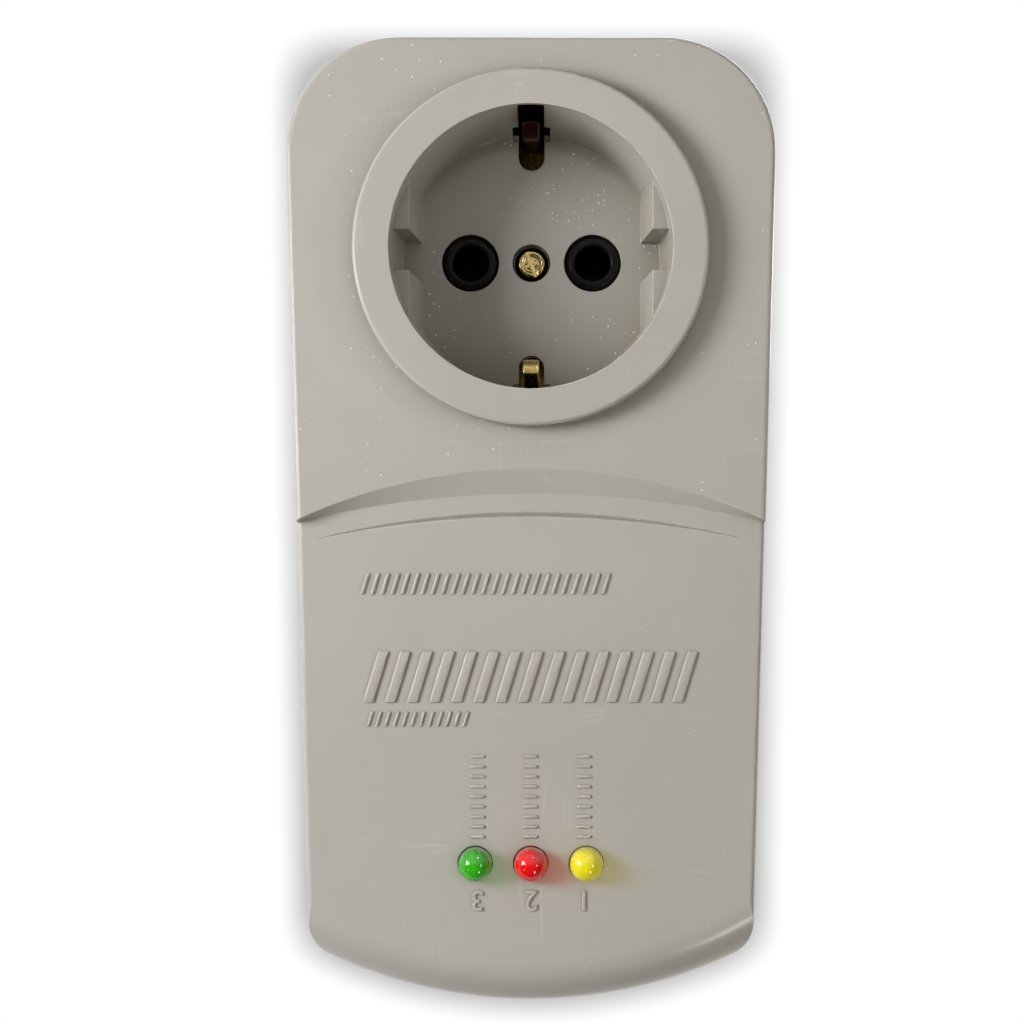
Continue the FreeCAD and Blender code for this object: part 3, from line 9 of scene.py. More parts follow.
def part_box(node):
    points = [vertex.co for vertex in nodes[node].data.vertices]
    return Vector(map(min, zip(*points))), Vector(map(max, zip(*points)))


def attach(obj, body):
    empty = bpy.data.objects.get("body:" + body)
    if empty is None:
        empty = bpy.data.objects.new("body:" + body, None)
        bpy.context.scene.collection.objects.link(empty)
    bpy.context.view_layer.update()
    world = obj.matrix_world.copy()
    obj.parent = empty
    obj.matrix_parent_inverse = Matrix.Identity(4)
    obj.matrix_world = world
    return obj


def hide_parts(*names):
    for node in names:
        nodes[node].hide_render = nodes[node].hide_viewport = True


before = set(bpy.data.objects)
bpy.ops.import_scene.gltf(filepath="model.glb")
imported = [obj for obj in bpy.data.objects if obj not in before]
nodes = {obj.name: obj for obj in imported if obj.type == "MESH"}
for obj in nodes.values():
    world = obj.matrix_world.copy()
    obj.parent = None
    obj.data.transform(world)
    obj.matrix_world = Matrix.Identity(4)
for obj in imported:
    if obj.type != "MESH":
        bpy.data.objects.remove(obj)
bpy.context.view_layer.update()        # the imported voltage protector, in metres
mm = 0.001
print("frame loaded,", len(nodes), "pieces")


def addObject(name, data):
    made = bpy.data.objects.new(name, data)
    bpy.context.scene.collection.objects.link(made)
    return made


# building blocks for shader trees

def put(tree, kind, feeds=None, **settings):
    # adds a shader node, then links or sets its inputs
    made = tree.nodes.new("ShaderNode" + kind)
    for name, value in settings.items():
        setattr(made, name, value)
    for name, value in (feeds or {}).items():
        if isinstance(value, bpy.types.NodeSocket):
            tree.links.new(value, made.inputs[name])
        else:
            made.inputs[name].default_value = value
    return made


def calc(tree, operation, first, second=0.0, third=0.0):
    return put(tree, "Math", {0: first, 1: second, 2: third}, operation=operation).outputs[0]


def times(tree, first, second):
    return calc(tree, "MULTIPLY", first, second)


def vectorCalc(tree, operation, first, second, output="Vector"):
    return put(tree, "VectorMath", {0: first, 1: second}, operation=operation).outputs[output]


def spread(tree, value, low, high, newLow=0.0, newHigh=1.0):
    return put(tree, "MapRange", {"Value": value, "From Min": low, "From Max": high, "To Min": newLow,
                                  "To Max": newHigh}).outputs["Result"]


def noise(tree, where, scale, detail, roughness=0.5, distortion=0.0, output="Fac"):
    return put(tree, "TexNoise", {"Vector": where, "Scale": scale, "Detail": detail,
                                  "Roughness": roughness, "Distortion": distortion}).outputs[output]


def alongAxis(tree, axis):
    # the object's own coordinate along one axis
    place = put(tree, "TexCoord").outputs["Object"]
    return put(tree, "SeparateXYZ", {"Vector": place}).outputs[axis]


def aboutEye(tree, value, eye, larger):
    # a coordinate on the wall brought back to the housing, along a line from the camera
    return calc(tree, "MULTIPLY_ADD", value, 1 / larger, eye - eye / larger)


def blendColour(tree, mask, under, over):
    # sockets 0, 6 and 7 are the factor and the two colours
    return put(tree, "Mix", {0: mask, 6: under, 7: over}, data_type="RGBA").outputs[2]


def startGroup(name, numbers, outputs):
    # an effect's group, with the object's own coordinates ready inside it
    tree = bpy.data.node_groups.new(name, "ShaderNodeTree")
    for label, value in numbers.items():
        kind = "NodeSocketVector" if isinstance(value, tuple) else "NodeSocketFloat"
        tree.interface.new_socket(label, in_out="INPUT", socket_type=kind).default_value = value
    for label in outputs:
        tree.interface.new_socket(label, in_out="OUTPUT", socket_type="NodeSocketFloat")
    inlet, outlet = tree.nodes.new("NodeGroupInput").outputs, tree.nodes.new("NodeGroupOutput").inputs
    return tree, inlet, outlet, put(tree, "TexCoord").outputs["Object"]


def patches(tree, place, scale, detail, low, high):
    # a slow noise that shows from low to high
    return spread(tree, noise(tree, place, scale, detail), low, high)


# what every use of an effect shares: each patch is a scale, a detail, and where it starts and is full
effectLook = {"middleScale": 0.12, "middleHeight": 0.6, "glossFine": 0.5, "tone": (0.25, 0.75),
              "gloss": (0.4, 1.1), "bendScale": 3800.0, "bend": (0.00022, 0.00022, 0.00022),
              "dustPatch": (75.0, 2.0, 0.45, 0.72), "linePatch": (130.0, 2.0, 0.56, 0.64),
              "lines": ((0.6, (1.0, 1.0, 0.05)), (-0.9, (0.06, 1.0, 1.0))), "lineWidth": 0.0035,
              "turned": (0.995, 0.85), "rubPatch": (700.0, 3.0, 0.3, 0.6), "metalTone": (0.3, 0.7),
              "stain": (0.48, 0.72)}


def shapedGrain():
    # moulded grain: fine height, slow tone drift and slow gloss drift
    tree, inlet, outlet, place = startGroup("mouldedGrain", {"Grain": 2600.0, "Drift": 45.0},
                                            ("Height", "Tone", "Gloss"))
    fine = noise(tree, place, inlet["Grain"], 3.0, 0.6)
    slow = noise(tree, place, inlet["Drift"], 4.0, 0.55, 0.4)
    wider = times(tree, inlet["Grain"], effectLook["middleScale"])
    middle = noise(tree, place, wider, 2.0)
    height = calc(tree, "MULTIPLY_ADD", middle, effectLook["middleHeight"], fine)
    tree.links.new(height, outlet["Height"])
    tree.links.new(spread(tree, slow, *effectLook["tone"]), outlet["Tone"])
    gloss = calc(tree, "MULTIPLY_ADD", fine, effectLook["glossFine"], slow)
    tree.links.new(spread(tree, gloss, *effectLook["gloss"]), outlet["Gloss"])
    return tree


def specks():
    # dust: round spots in a few of a lattice's cells, each of its own size, more in some patches
    tree, inlet, outlet, place = startGroup("dustSpecks", {"Scale": 420.0, "Amount": 0.06, "Size": 0.2},
                                            ("Mask",))
    bend = noise(tree, place, effectLook["bendScale"], 1.0, output="Color")
    moved = vectorCalc(tree, "MULTIPLY", bend, effectLook["bend"])
    moved = vectorCalc(tree, "ADD", place, moved)
    cells = put(tree, "TexVoronoi", {"Vector": moved, "Scale": inlet["Scale"]})
    pick = put(tree, "SeparateColor", {"Color": cells.outputs["Color"]})
    patch = patches(tree, place, *effectLook["dustPatch"])
    share = times(tree, inlet["Amount"], patch)
    chosen = calc(tree, "LESS_THAN", pick.outputs["Red"], share)
    reach = times(tree, pick.outputs["Green"], inlet["Size"])
    spot = calc(tree, "LESS_THAN", cells.outputs["Distance"], reach)
    tree.links.new(times(tree, chosen, spot), outlet["Mask"])
    return tree


def hairlines():
    # scratches: thin level lines of noise stretched two ways, broken up by a slower noise
    tree, inlet, outlet, place = startGroup("hairScratches", {"Scale": 60.0, "Amount": 0.3}, ("Mask",))
    lines = []
    for turn, stretch in effectLook["lines"]:
        turned = put(tree, "Mapping", {"Vector": place, "Rotation": (0.0, turn, 0.0), "Scale": stretch})
        level = noise(tree, turned.outputs[0], inlet["Scale"], 4.0)
        away = calc(tree, "ABSOLUTE", calc(tree, "SUBTRACT", level, 0.5))
        lines.append(spread(tree, away, 0.0, effectLook["lineWidth"], 1.0, 0.0))
    both = calc(tree, "MAXIMUM", lines[0], lines[1])
    shown = patches(tree, place, *effectLook["linePatch"])
    mask = times(tree, times(tree, both, shown), inlet["Amount"])
    tree.links.new(mask, outlet["Mask"])
    return tree


def rubbedEdges():
    # edges: how far the rounded normal turns from the true one, used for wear and for painted highlight
    # lines
    tree, inlet, outlet, place = startGroup("rubbedEdges", {"Radius": 0.0003, "Amount": 1.0}, ("Mask",))
    rounded = put(tree, "Bevel", {"Radius": inlet["Radius"]}, samples=4)
    true = put(tree, "NewGeometry").outputs["Normal"]
    same = vectorCalc(tree, "DOT_PRODUCT", rounded.outputs[0], true, "Value")
    turned = spread(tree, same, *effectLook["turned"])
    patchy = times(tree, turned, patches(tree, place, *effectLook["rubPatch"]))
    tree.links.new(times(tree, patchy, inlet["Amount"]), outlet["Mask"])
    return tree


def drawnMetal():
    # metal: fine lines along the way it was drawn or turned, and slow stains
    tree, inlet, outlet, place = startGroup("drawnMetal", {"Stretch": (1.0, 0.04, 1.0), "Grain": 2200.0,
                                                           "Stain": 260.0}, ("Height", "Tone", "Stain"))
    pulled = vectorCalc(tree, "MULTIPLY", place, inlet["Stretch"])
    fine = noise(tree, pulled, inlet["Grain"], 4.0, 0.7)
    tree.links.new(fine, outlet["Height"])
    tree.links.new(spread(tree, fine, *effectLook["metalTone"]), outlet["Tone"])
    slow = noise(tree, place, inlet["Stain"], 5.0, 0.65, 0.8)
    tree.links.new(spread(tree, slow, *effectLook["stain"]), outlet["Stain"])
    return tree


effects = {"grain": shapedGrain(), "dust": specks(), "scratches": hairlines(), "edges": rubbedEdges(),
           "metal": drawnMetal()}


def effect(tree, name, **numbers):
    made = put(tree, "Group", node_tree=effects[name])
    for label, value in numbers.items():
        made.inputs[label].default_value = value
    return made.outputs


def startMaterial(name, roughness, **fixed):
    material = bpy.data.materials.new(name)
    material.use_nodes = True
    tree = material.node_tree
    shader = tree.nodes["Principled BSDF"]
    shader.inputs["Roughness"].default_value = roughness
    for label, value in fixed.items():
        shader.inputs[label.replace("_", " ")].default_value = value
    return material, tree, shader


def roughen(tree, shader, height, distance, strength=0.5, edge=0.0):
    # grain as a bump, on edges that look rounded by a small radius where edge is given
    bump = put(tree, "Bump", {"Height": height, "Distance": distance, "Strength": strength})
    if edge:
        rounded = put(tree, "Bevel", {"Radius": edge}, samples=6)
        tree.links.new(rounded.outputs[0], bump.inputs["Normal"])
    tree.links.new(bump.outputs["Normal"], shader.inputs["Normal"])


def paint(red, green, blue):
    return (red, green, blue, 1.0)


def finishLook(colour, shade, roughness, **others):
    return {"colour": paint(*colour), "shade": paint(*shade), "roughness": roughness, **others}


# plastics, with what a finish has where its own look says nothing

plasticUsual = {"ior": 1.47, "coat": 0.0, "grain": 2600.0, "drift": 60.0, "bump": 0.00001,
                "rounded": 0.0002, "edge": 0.00025, "rub": 0.3, "rubbed": paint(0.75, 0.74, 0.72),
                "lines": 70.0, "scratched": 0.2, "dust": 0.05, "dustScale": 500.0, "dustSize": 0.16,
                "dustShown": 0.8, "dustColour": paint(0.8, 0.79, 0.76), "dustMatte": 0.4,
                "glossier": 0.05, "duller": 0.07}


def plasticFinish(name, ownLook):
    look = {**plasticUsual, **ownLook}
    material, tree, shader = startMaterial(name, look["roughness"], IOR=look["ior"],
                                           Coat_Weight=look["coat"])
    grain = effect(tree, "grain", Grain=look["grain"], Drift=look["drift"])
    colour = blendColour(tree, grain["Tone"], look["shade"], look["colour"])
    # edges lightened: wear, and painted highlight lines where the amount is high
    rub = effect(tree, "edges", Radius=look["edge"], Amount=look["rub"])
    colour = blendColour(tree, rub["Mask"], colour, look["rubbed"])
    lines = effect(tree, "scratches", Scale=look["lines"], Amount=look["scratched"])
    colour = blendColour(tree, lines["Mask"], colour, look["rubbed"])
    dust = effect(tree, "dust", Scale=look["dustScale"], Amount=look["dust"], Size=look["dustSize"])
    colour = blendColour(tree, times(tree, dust["Mask"], look["dustShown"]), colour, look["dustColour"])
    tree.links.new(colour, shader.inputs["Base Color"])
    gloss = spread(tree, grain["Gloss"], 0.0, 1.0, look["roughness"] - look["glossier"],
                   look["roughness"] + look["duller"])
    matte = calc(tree, "MULTIPLY_ADD", dust["Mask"], look["dustMatte"], gloss)
    tree.links.new(matte, shader.inputs["Roughness"])
    roughen(tree, shader, grain["Height"], look["bump"], edge=look["rounded"])
    return material, tree, shader, colour


# metals, with what a finish has where its own look says nothing

metalUsual = {"stretch": (1.0, 0.04, 1.0), "grain": 2200.0, "bump": 0.000012, "strength": 0.4,
              "stain": 260.0, "stained": 0.5, "dulled": 0.3, "edge": 0.00015, "rub": 0.6,
              "glossier": 0.05, "duller": 0.08}


def axisBand(tree, axis, low, high, soft=0.00004):
    # 1 between two places along an axis, 0 outside them
    value = alongAxis(tree, axis)
    rise = spread(tree, value, low - soft, low + soft)
    fall = spread(tree, value, high - soft, high + soft, 1.0, 0.0)
    return times(tree, rise, fall)


def metalFinish(name, ownLook):
    look = {**metalUsual, **ownLook}
    material, tree, shader = startMaterial(name, look["roughness"], Metallic=1.0)
    metal = effect(tree, "metal", Stretch=look["stretch"], Grain=look["grain"], Stain=look["stain"])
    colour = blendColour(tree, metal["Tone"], look["shade"], look["colour"])
    stain = times(tree, metal["Stain"], look["stained"])
    colour = blendColour(tree, stain, colour, look["stainColour"])
    rub = effect(tree, "edges", Radius=look["edge"], Amount=look["rub"])
    colour = blendColour(tree, rub["Mask"], colour, look["colour"])
    tree.links.new(colour, shader.inputs["Base Color"])
    clean = spread(tree, metal["Tone"], 0.0, 1.0, look["roughness"] + look["duller"],
                   look["roughness"] - look["glossier"])
    rough = calc(tree, "MULTIPLY_ADD", metal["Stain"], look["stained"] * look["dulled"], clean)
    tree.links.new(rough, shader.inputs["Roughness"])
    roughen(tree, shader, metal["Height"], look["bump"], look["strength"])
    return material


# the housing's plastic, and the other plastics

# the housing's edges are lightened strongly: painted highlight lines as well as wear
housingLook = finishLook((0.448, 0.428, 0.392), (0.425, 0.404, 0.366), 0.2, grain=3000.0, drift=35.0,
                         bump=0.000004, rounded=0.0003, edge=0.0003, rub=0.8,
                         rubbed=paint(0.76, 0.74, 0.69), scratched=0.16, dust=0.5, dustScale=900.0,
                         dustSize=0.13, closeBy=0.016, agedFrom=0.85, agedFull=0.3,
                         aged=paint(0.27, 0.25, 0.2), caughtFrom=0.9, caughtFull=0.7, caught=0.6,
                         caughtScale=1250.0, caughtSize=0.2, speck=paint(0.85, 0.84, 0.82))


def housingFinish(look):
    # the plain plastic, with painted shade: warmer and darker where little of the open side is in
    # view, with more dust caught there
    material, tree, shader, colour = plasticFinish("housing_plastic", look)
    space = put(tree, "AmbientOcclusion", {"Distance": look["closeBy"]}, samples=6)
    # painted shade: colour darkened and warmed by occlusion, deepest inside the socket's recess
    recessShade = spread(tree, space.outputs["AO"], look["agedFrom"], look["agedFull"])
    colour = blendColour(tree, recessShade, colour, look["aged"])
    caught = effect(tree, "dust", Scale=look["caughtScale"], Amount=look["caught"],
                    Size=look["caughtSize"])
    sheltered = spread(tree, space.outputs["AO"], look["caughtFrom"], look["caughtFull"])
    colour = blendColour(tree, times(tree, caught["Mask"], sheltered), colour, look["speck"])
    tree.links.new(colour, shader.inputs["Base Color"])
    return material


finishes = {"housing": housingFinish(housingLook)}

plasticLooks = {
    "black_insert": finishLook((0.005, 0.005, 0.005), (0.003, 0.003, 0.003), 0.1, rub=0.05,
                               rubbed=paint(0.12, 0.11, 0.1), dust=0.03, scratched=0.05, grain=2200.0,
                               bump=0.000003, ior=1.36),
    "relay_plastic": finishLook((0.012, 0.045, 0.2), (0.008, 0.03, 0.15), 0.22,
                                rubbed=paint(0.1, 0.2, 0.45)),
    "bobbin_plastic": finishLook((0.66, 0.63, 0.56), (0.58, 0.55, 0.48), 0.4),
    "film_capacitor": finishLook((0.62, 0.36, 0.02), (0.5, 0.27, 0.012), 0.3, grain=900.0, bump=0.00004),
    "trimmer_case": finishLook((0.012, 0.07, 0.38), (0.008, 0.05, 0.28), 0.28,
                               rubbed=paint(0.1, 0.24, 0.55)),
    "trimmer_rotor": finishLook((0.78, 0.76, 0.7), (0.66, 0.63, 0.56), 0.42,
                                rubbed=paint(0.5, 0.47, 0.42)),
    "chip_black": finishLook((0.022, 0.022, 0.022), (0.013, 0.013, 0.014), 0.55, grain=4200.0,
                             bump=0.00003, rubbed=paint(0.12, 0.12, 0.12)),
    "blue_coating": finishLook((0.01, 0.07, 0.3), (0.008, 0.045, 0.2), 0.3, grain=520.0, bump=0.00012,
                               rubbed=paint(0.06, 0.18, 0.45)),
    "live_insulation": finishLook((0.11, 0.035, 0.014), (0.075, 0.024, 0.01), 0.45, grain=1500.0,
                                  rubbed=paint(0.25, 0.14, 0.09)),
    "neutral_insulation": finishLook((0.014, 0.06, 0.32), (0.01, 0.04, 0.22), 0.45, grain=1500.0,
                                     rubbed=paint(0.12, 0.2, 0.45)),
}
for slotName, look in plasticLooks.items():
    finishes[slotName] = plasticFinish(slotName + "_finish", look)[0]

metalLooks = {
    "spring_brass": finishLook((0.92, 0.74, 0.32), (0.8, 0.58, 0.2), 0.24,
                               stainColour=paint(0.3, 0.13, 0.04), stained=0.6,
                               stretch=(1.0, 0.05, 1.0)),
    "brass_screw": finishLook((0.92, 0.68, 0.3), (0.7, 0.44, 0.15), 0.2,
                              stainColour=paint(0.26, 0.13, 0.04), stained=0.45,
                              stretch=(1.0, 1.0, 0.12), grain=1600.0, bump=0.000003),
    "nickel_plate": finishLook((0.74, 0.71, 0.66), (0.6, 0.57, 0.52), 0.2,
                               stainColour=paint(0.42, 0.38, 0.32), stained=0.25,
                               stretch=(1.0, 0.06, 1.0)),
    "zinc_steel": finishLook((0.66, 0.68, 0.7), (0.5, 0.51, 0.53), 0.32,
                             stainColour=paint(0.34, 0.33, 0.28), stained=0.4),
    "relay_iron": finishLook((0.58, 0.56, 0.53), (0.44, 0.42, 0.4), 0.36,
                             stainColour=paint(0.22, 0.18, 0.14), stained=0.35,
                             stretch=(0.05, 1.0, 1.0)),
    "spring_bronze": finishLook((0.8, 0.48, 0.26), (0.66, 0.37, 0.18), 0.25,
                                stainColour=paint(0.34, 0.15, 0.07), stained=0.4,
                                stretch=(1.0, 1.0, 0.05)),
    "silver_contact": finishLook((0.9, 0.88, 0.84), (0.76, 0.74, 0.7), 0.2,
                                 stainColour=paint(0.32, 0.28, 0.22), stained=0.45),
    "tinned_lead": finishLook((0.76, 0.75, 0.73), (0.6, 0.59, 0.57), 0.3,
                              stainColour=paint(0.42, 0.41, 0.38), stained=0.35),
}
for slotName, look in metalLooks.items():
    finishes[slotName] = metalFinish(slotName + "_finish", look)


# lamps: lens replaced by a finer one, tinted right through

# each lens: its colour, a deeper colour used as painted shade further back, and the tint of light
# passing
lampLook = {"green": {"colour": paint(0.04, 0.46, 0.008), "deep": paint(0.015, 0.2, 0.006),
                      "glow": paint(0.75, 1.0, 0.7)},
            "red": {"colour": paint(0.86, 0.005, 0.006), "deep": paint(0.45, 0.005, 0.01),
                    "glow": paint(1.0, 0.45, 0.45)},
            "yellow": {"colour": paint(0.88, 0.78, 0.015), "deep": paint(0.62, 0.5, 0.01),
                       "glow": paint(1.0, 0.98, 0.55)},
            # the shape, in millimetres where it is a length
            "segments": 96, "domeSteps": 28, "poleAngle": 0.02, "bodyRadius": 2.5, "body": 7.6,
            "draft": 0.03, "edge": 0.12, "rimIn": 3,
            # the finish of all three
            "roughness": 0.12, "glossy": 0.08, "dull": 0.2, "bump": 0.000004, "strength": 0.3,
            "grain": 1400.0, "drift": 330.0, "shadeFromTip": 5.0, "uneven": 0.25, "dust": 0.05,
            "dustScale": 1500.0, "dustShown": 0.35, "dustColour": paint(0.8, 0.78, 0.7), "passes": 0.85}


def surfaceMesh(name, points, faces, material, body):
    mesh = bpy.data.meshes.new(name)
    mesh.from_pydata(points.tolist(), [], faces)
    mesh.update()
    mesh.polygons.foreach_set("use_smooth", np.full(len(mesh.polygons), True))
    mesh.materials.append(material)
    piece = addObject(name, mesh)
    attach(piece, body)
    return piece


def ringFaces(rings, around):
    # quads between rings of points, then a fan to a single point at each end
    row, column = np.meshgrid(np.arange(rings - 1), np.arange(around), indexing="ij")
    onward = (column + 1) % around
    quads = np.stack([row * around + column, (row + 1) * around + column,
                      (row + 1) * around + onward, row * around + onward], axis=-1).reshape(-1, 4)
    step = np.arange(around)
    first = np.stack([step, (step + 1) % around, np.full(around, rings * around)], axis=-1)
    last = np.stack([(step + 1) % around, step, np.full(around, rings * around + 1)], axis=-1)
    last[:, :2] += (rings - 1) * around
    return quads.tolist() + first.tolist() + last.tolist()


def fullTurn(count):
    return np.linspace(0, 2 * math.pi, count, endpoint=False)


def squarishRing(turn, squareness):
    # Ring(t) = (cos t, sin t), each to the power 2 / squareness with its sign kept
    power = 2 / squareness
    across, upward = np.cos(turn), np.sin(turn)
    return np.sign(across) * np.abs(across) ** power, np.sign(upward) * np.abs(upward) ** power


def lampLens(colourName, material):
    # Point(s, t) = centre + radius(s) * (cos t, 0, sin t) + depth(s) along Y: a half ball, a slightly
    # drafted body and a flange with one flat side.
    low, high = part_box("led_" + colourName)
    centre = (low + high) / 2
    flangeRadius = (high.x - low.x) / 2
    bodyRadius = lampLook["bodyRadius"] * mm
    angle = np.linspace(lampLook["poleAngle"], math.pi / 2, lampLook["domeSteps"])
    radius = [bodyRadius * np.sin(angle)]
    depth = [low.y + bodyRadius * (1 - np.cos(angle))]
    shoulder = low.y + lampLook["body"] * mm
    edge = lampLook["edge"] * mm
    drafted = bodyRadius + lampLook["draft"] * mm
    radius.append([drafted, drafted + edge, flangeRadius - edge, flangeRadius, flangeRadius,
                   flangeRadius - edge, flangeRadius - lampLook["rimIn"] * edge])
    depth.append([shoulder - edge, shoulder, shoulder, shoulder + edge, high.y - edge, high.y, high.y])
    radius, depth = np.concatenate(radius), np.concatenate(depth)
    turn = fullTurn(lampLook["segments"])
    across = radius[:, None] * np.cos(turn)
    flat = np.where(radius[:, None] > drafted, drafted + edge, radius[:, None])
    across = np.minimum(across, flat)      # the flat that marks one lead's side
    upward = radius[:, None] * np.sin(turn)
    deep = np.broadcast_to(depth[:, None], across.shape)
    grid = np.stack([centre.x + across, deep, centre.z + upward], axis=-1).reshape(-1, 3)
    poles = [[centre.x, low.y, centre.z], [centre.x, high.y, centre.z]]
    piece = surfaceMesh("lamp_lens_" + colourName, np.vstack([grid, poles]),
                        ringFaces(len(radius), lampLook["segments"]), material, "housing")
    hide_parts("led_" + colourName)


def lensMaterial(colourName):
    look = lampLook[colourName]
    material, tree, shader = startMaterial("lamp_" + colourName + "_lens", lampLook["roughness"],
                                           IOR=1.5, Subsurface_Weight=0.35,
                                           Subsurface_Radius=(0.6, 0.6, 0.6), Subsurface_Scale=0.002,
                                           Coat_Weight=1.0, Coat_Roughness=0.02, Coat_IOR=1.6)
    grain = effect(tree, "grain", Grain=lampLook["grain"], Drift=lampLook["drift"])
    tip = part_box("led_" + colourName)[0].y
    # painted shade: the colour deepens from the dome's tip back along Y
    sunk = spread(tree, alongAxis(tree, "Y"), tip, tip + lampLook["shadeFromTip"] * mm)
    mixed = calc(tree, "MULTIPLY_ADD", grain["Tone"], lampLook["uneven"], sunk)
    colour = blendColour(tree, mixed, look["colour"], look["deep"])
    dust = effect(tree, "dust", Scale=lampLook["dustScale"], Amount=lampLook["dust"])
    shown = times(tree, dust["Mask"], lampLook["dustShown"])
    colour = blendColour(tree, shown, colour, lampLook["dustColour"])
    tree.links.new(colour, shader.inputs["Base Color"])
    gloss = spread(tree, grain["Gloss"], 0.0, 1.0, lampLook["glossy"], lampLook["dull"])
    tree.links.new(gloss, shader.inputs["Roughness"])
    roughen(tree, shader, grain["Height"], lampLook["bump"], lampLook["strength"])
    # some light passes through the lens, tinted, and falls beside it
    passed = put(tree, "BsdfTransparent", {"Color": look["glow"]})
    onShadow = times(tree, put(tree, "LightPath").outputs["Is Shadow Ray"],
                    lampLook["passes"])
    both = put(tree, "MixShader", {0: onShadow, 1: shader.outputs[0], 2: passed.outputs[0]})
    tree.links.new(both.outputs[0], tree.nodes["Material Output"].inputs["Surface"])
    return material


for colourName in ("green", "red", "yellow"):
    finishes["lamp_" + colourName] = lensMaterial(colourName)
    lampLens(colourName, finishes["lamp_" + colourName])
print("lamp lenses made")


# earth clips: sprung strips with a curled tip and softened edges, in millimetres and degrees

clipLook = {"metal": 0.8, "halfWidth": 1.2, "bend": 6.9, "crestBack": 3.05, "curl": 2.5,
            "curlTurn": 76.0, "edge": 6.0, "tipRound": 0.75, "tipPower": 4, "tipThin": 0.55,
            "tipNarrow": 0.45, "steps": 90, "around": 56, "tipShadeLength": 5.0, "tipShadeSoft": 0.8,
            "metalBack": 0.1, "metalTip": 0.9, "tipShadeColour": paint(0.035, 0.008, 0.004)}


def shadedTopClip(front):
    # the top clip's brass painted dark red and dull at the tip as painted shade, which the bottom clip
    # doesn't get; browner and less metallic further back
    look = dict(metalLooks["spring_brass"], colour=paint(0.95, 0.5, 0.1), shade=paint(0.75, 0.34, 0.04),
                roughness=0.3, rub=0.2, stained=0.3)
    material = metalFinish("top_clip_painted_shade_finish", look)
    tree = material.node_tree
    shader = tree.nodes["Principled BSDF"].inputs
    colour = shader["Base Color"]
    back = front + clipLook["tipShadeLength"] * mm
    # painted shade: the band from the tip back, blended to near-black red
    tip = axisBand(tree, "Y", front - mm, back, clipLook["tipShadeSoft"] * mm)
    tree.links.new(blendColour(tree, tip, colour.links[0].from_socket, clipLook["tipShadeColour"]), colour)
    tree.links.new(spread(tree, tip, 0.0, 1.0, clipLook["metalBack"], clipLook["metalTip"]),
                   shader["Metallic"])
    return material


def clipStrip(name, body, side, finish, look):
    # Path(s) runs along Y at the root's radius, eases in to the crest as a cosine step, and curls
    # outwards on an arc. Point(s, t) = path + a squarish ring across the strip.
    low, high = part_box(body)
    half = look["metal"] / 2
    foot, tip = high.y / mm, low.y / mm
    outer = max(abs(low.z), abs(high.z)) / mm - half
    crest = min(abs(low.z), abs(high.z)) / mm + half
    crestAt = tip + look["crestBack"]
    back = np.linspace(foot, crestAt, look["steps"])
    ease = np.clip((crestAt + look["bend"] - back) / look["bend"], 0.0, 1.0)
    inward = outer - (outer - crest) * (1 - np.cos(math.pi * ease)) / 2
    turn = np.radians(np.linspace(0.0, look["curlTurn"], look["steps"] // 2))[1:]
    along = np.concatenate([back, crestAt - look["curl"] * np.sin(turn)])
    away = np.concatenate([inward, crest + look["curl"] * (1 - np.cos(turn))])
    stepAlong, stepAway = np.gradient(along), np.gradient(away)
    length = np.hypot(stepAlong, stepAway)
    gone = np.cumsum(length)
    left = np.clip((gone[-1] - gone) / look["tipRound"], 0.0, 1.0)
    power = look["tipPower"]
    narrow = (1 - (1 - left) ** power) ** (1 / power)      # the tip's rounded plan
    narrow[-1] = narrow[-2] / 2
    ringX, ringUp = squarishRing(fullTurn(look["around"]), look["edge"])
    ringX, ringUp = ringX * look["halfWidth"], ringUp * half
    thin, slim = look["tipThin"], look["tipNarrow"]
    thick = np.where(left < 1.0, thin + (1 - thin) * left, 1.0)
    x = ringX * (slim + (1 - slim) * narrow[:, None])
    y = along[:, None] - ringUp * thick[:, None] * (stepAway / length)[:, None]
    z = side * (away[:, None] + ringUp * thick[:, None] * (stepAlong / length)[:, None])
    grid = np.stack([x, y, z], axis=-1).reshape(-1, 3)
    poles = [[0.0, foot, side * outer], [0.0, along[-1], side * away[-1]]]
    faces = ringFaces(len(along), look["around"])
    if side < 0:      # the mirrored strip's faces point outwards again
        faces = [face[::-1] for face in faces]
    piece = surfaceMesh(name, np.vstack([grid, poles]) * mm, faces, finish, body)
    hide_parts(body)


topClipShadedFinish = shadedTopClip(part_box("earth_clip_top")[0].y)
clipStrip("clip_strip_top", "earth_clip_top", 1, topClipShadedFinish, clipLook)
clipStrip("clip_strip_bottom", "earth_clip_bottom", -1, finishes["spring_brass"], clipLook)


# middle screw: crowned head with a worn slot and cross, and its shank, in millimetres and degrees

screwLook = {"crown": 0.3, "crownRadius": 2.06, "soft": 0.22, "softFrom": 0.86, "firstRing": 0.02,
             "rings": 60, "around": 200,
             "bowl": 0.42, "bowlRadius": 1.35, "bowlWide": 0.7, "bowlShare": 0.8,
             "slotAngle": -69.0, "slotHalf": 0.36, "slotDepth": 0.4, "blur": 0.16,
             "crossHalf": 0.3, "crossReach": 1.15, "crossDepth": 0.3,
             "wear": 0.05, "wearRate": 3.1, "wearStart": 0.6, "leastStep": 0.03,
             "skirt": 0.02, "skirtDeep": 0.7, "flangeDrop": 1.15, "lip": 0.08, "flangeRound": 0.1,
             "headDeep": 0.55, "shank": 1.75, "shankTaper": 1.2, "shankEnd": 0.6,
             "wellShadeFrom": 0.9, "wellShadeTo": 3.0, "wellShadeSoft": 0.1, "wellShadeColour": paint(0.012, 0.008, 0.006)}


def softStep(value, middle, width):
    # 0 to 1 as value passes middle, eased over width
    share = np.clip((value - middle) / width + 0.5, 0.0, 1.0)
    return share * share * (3 - 2 * share)


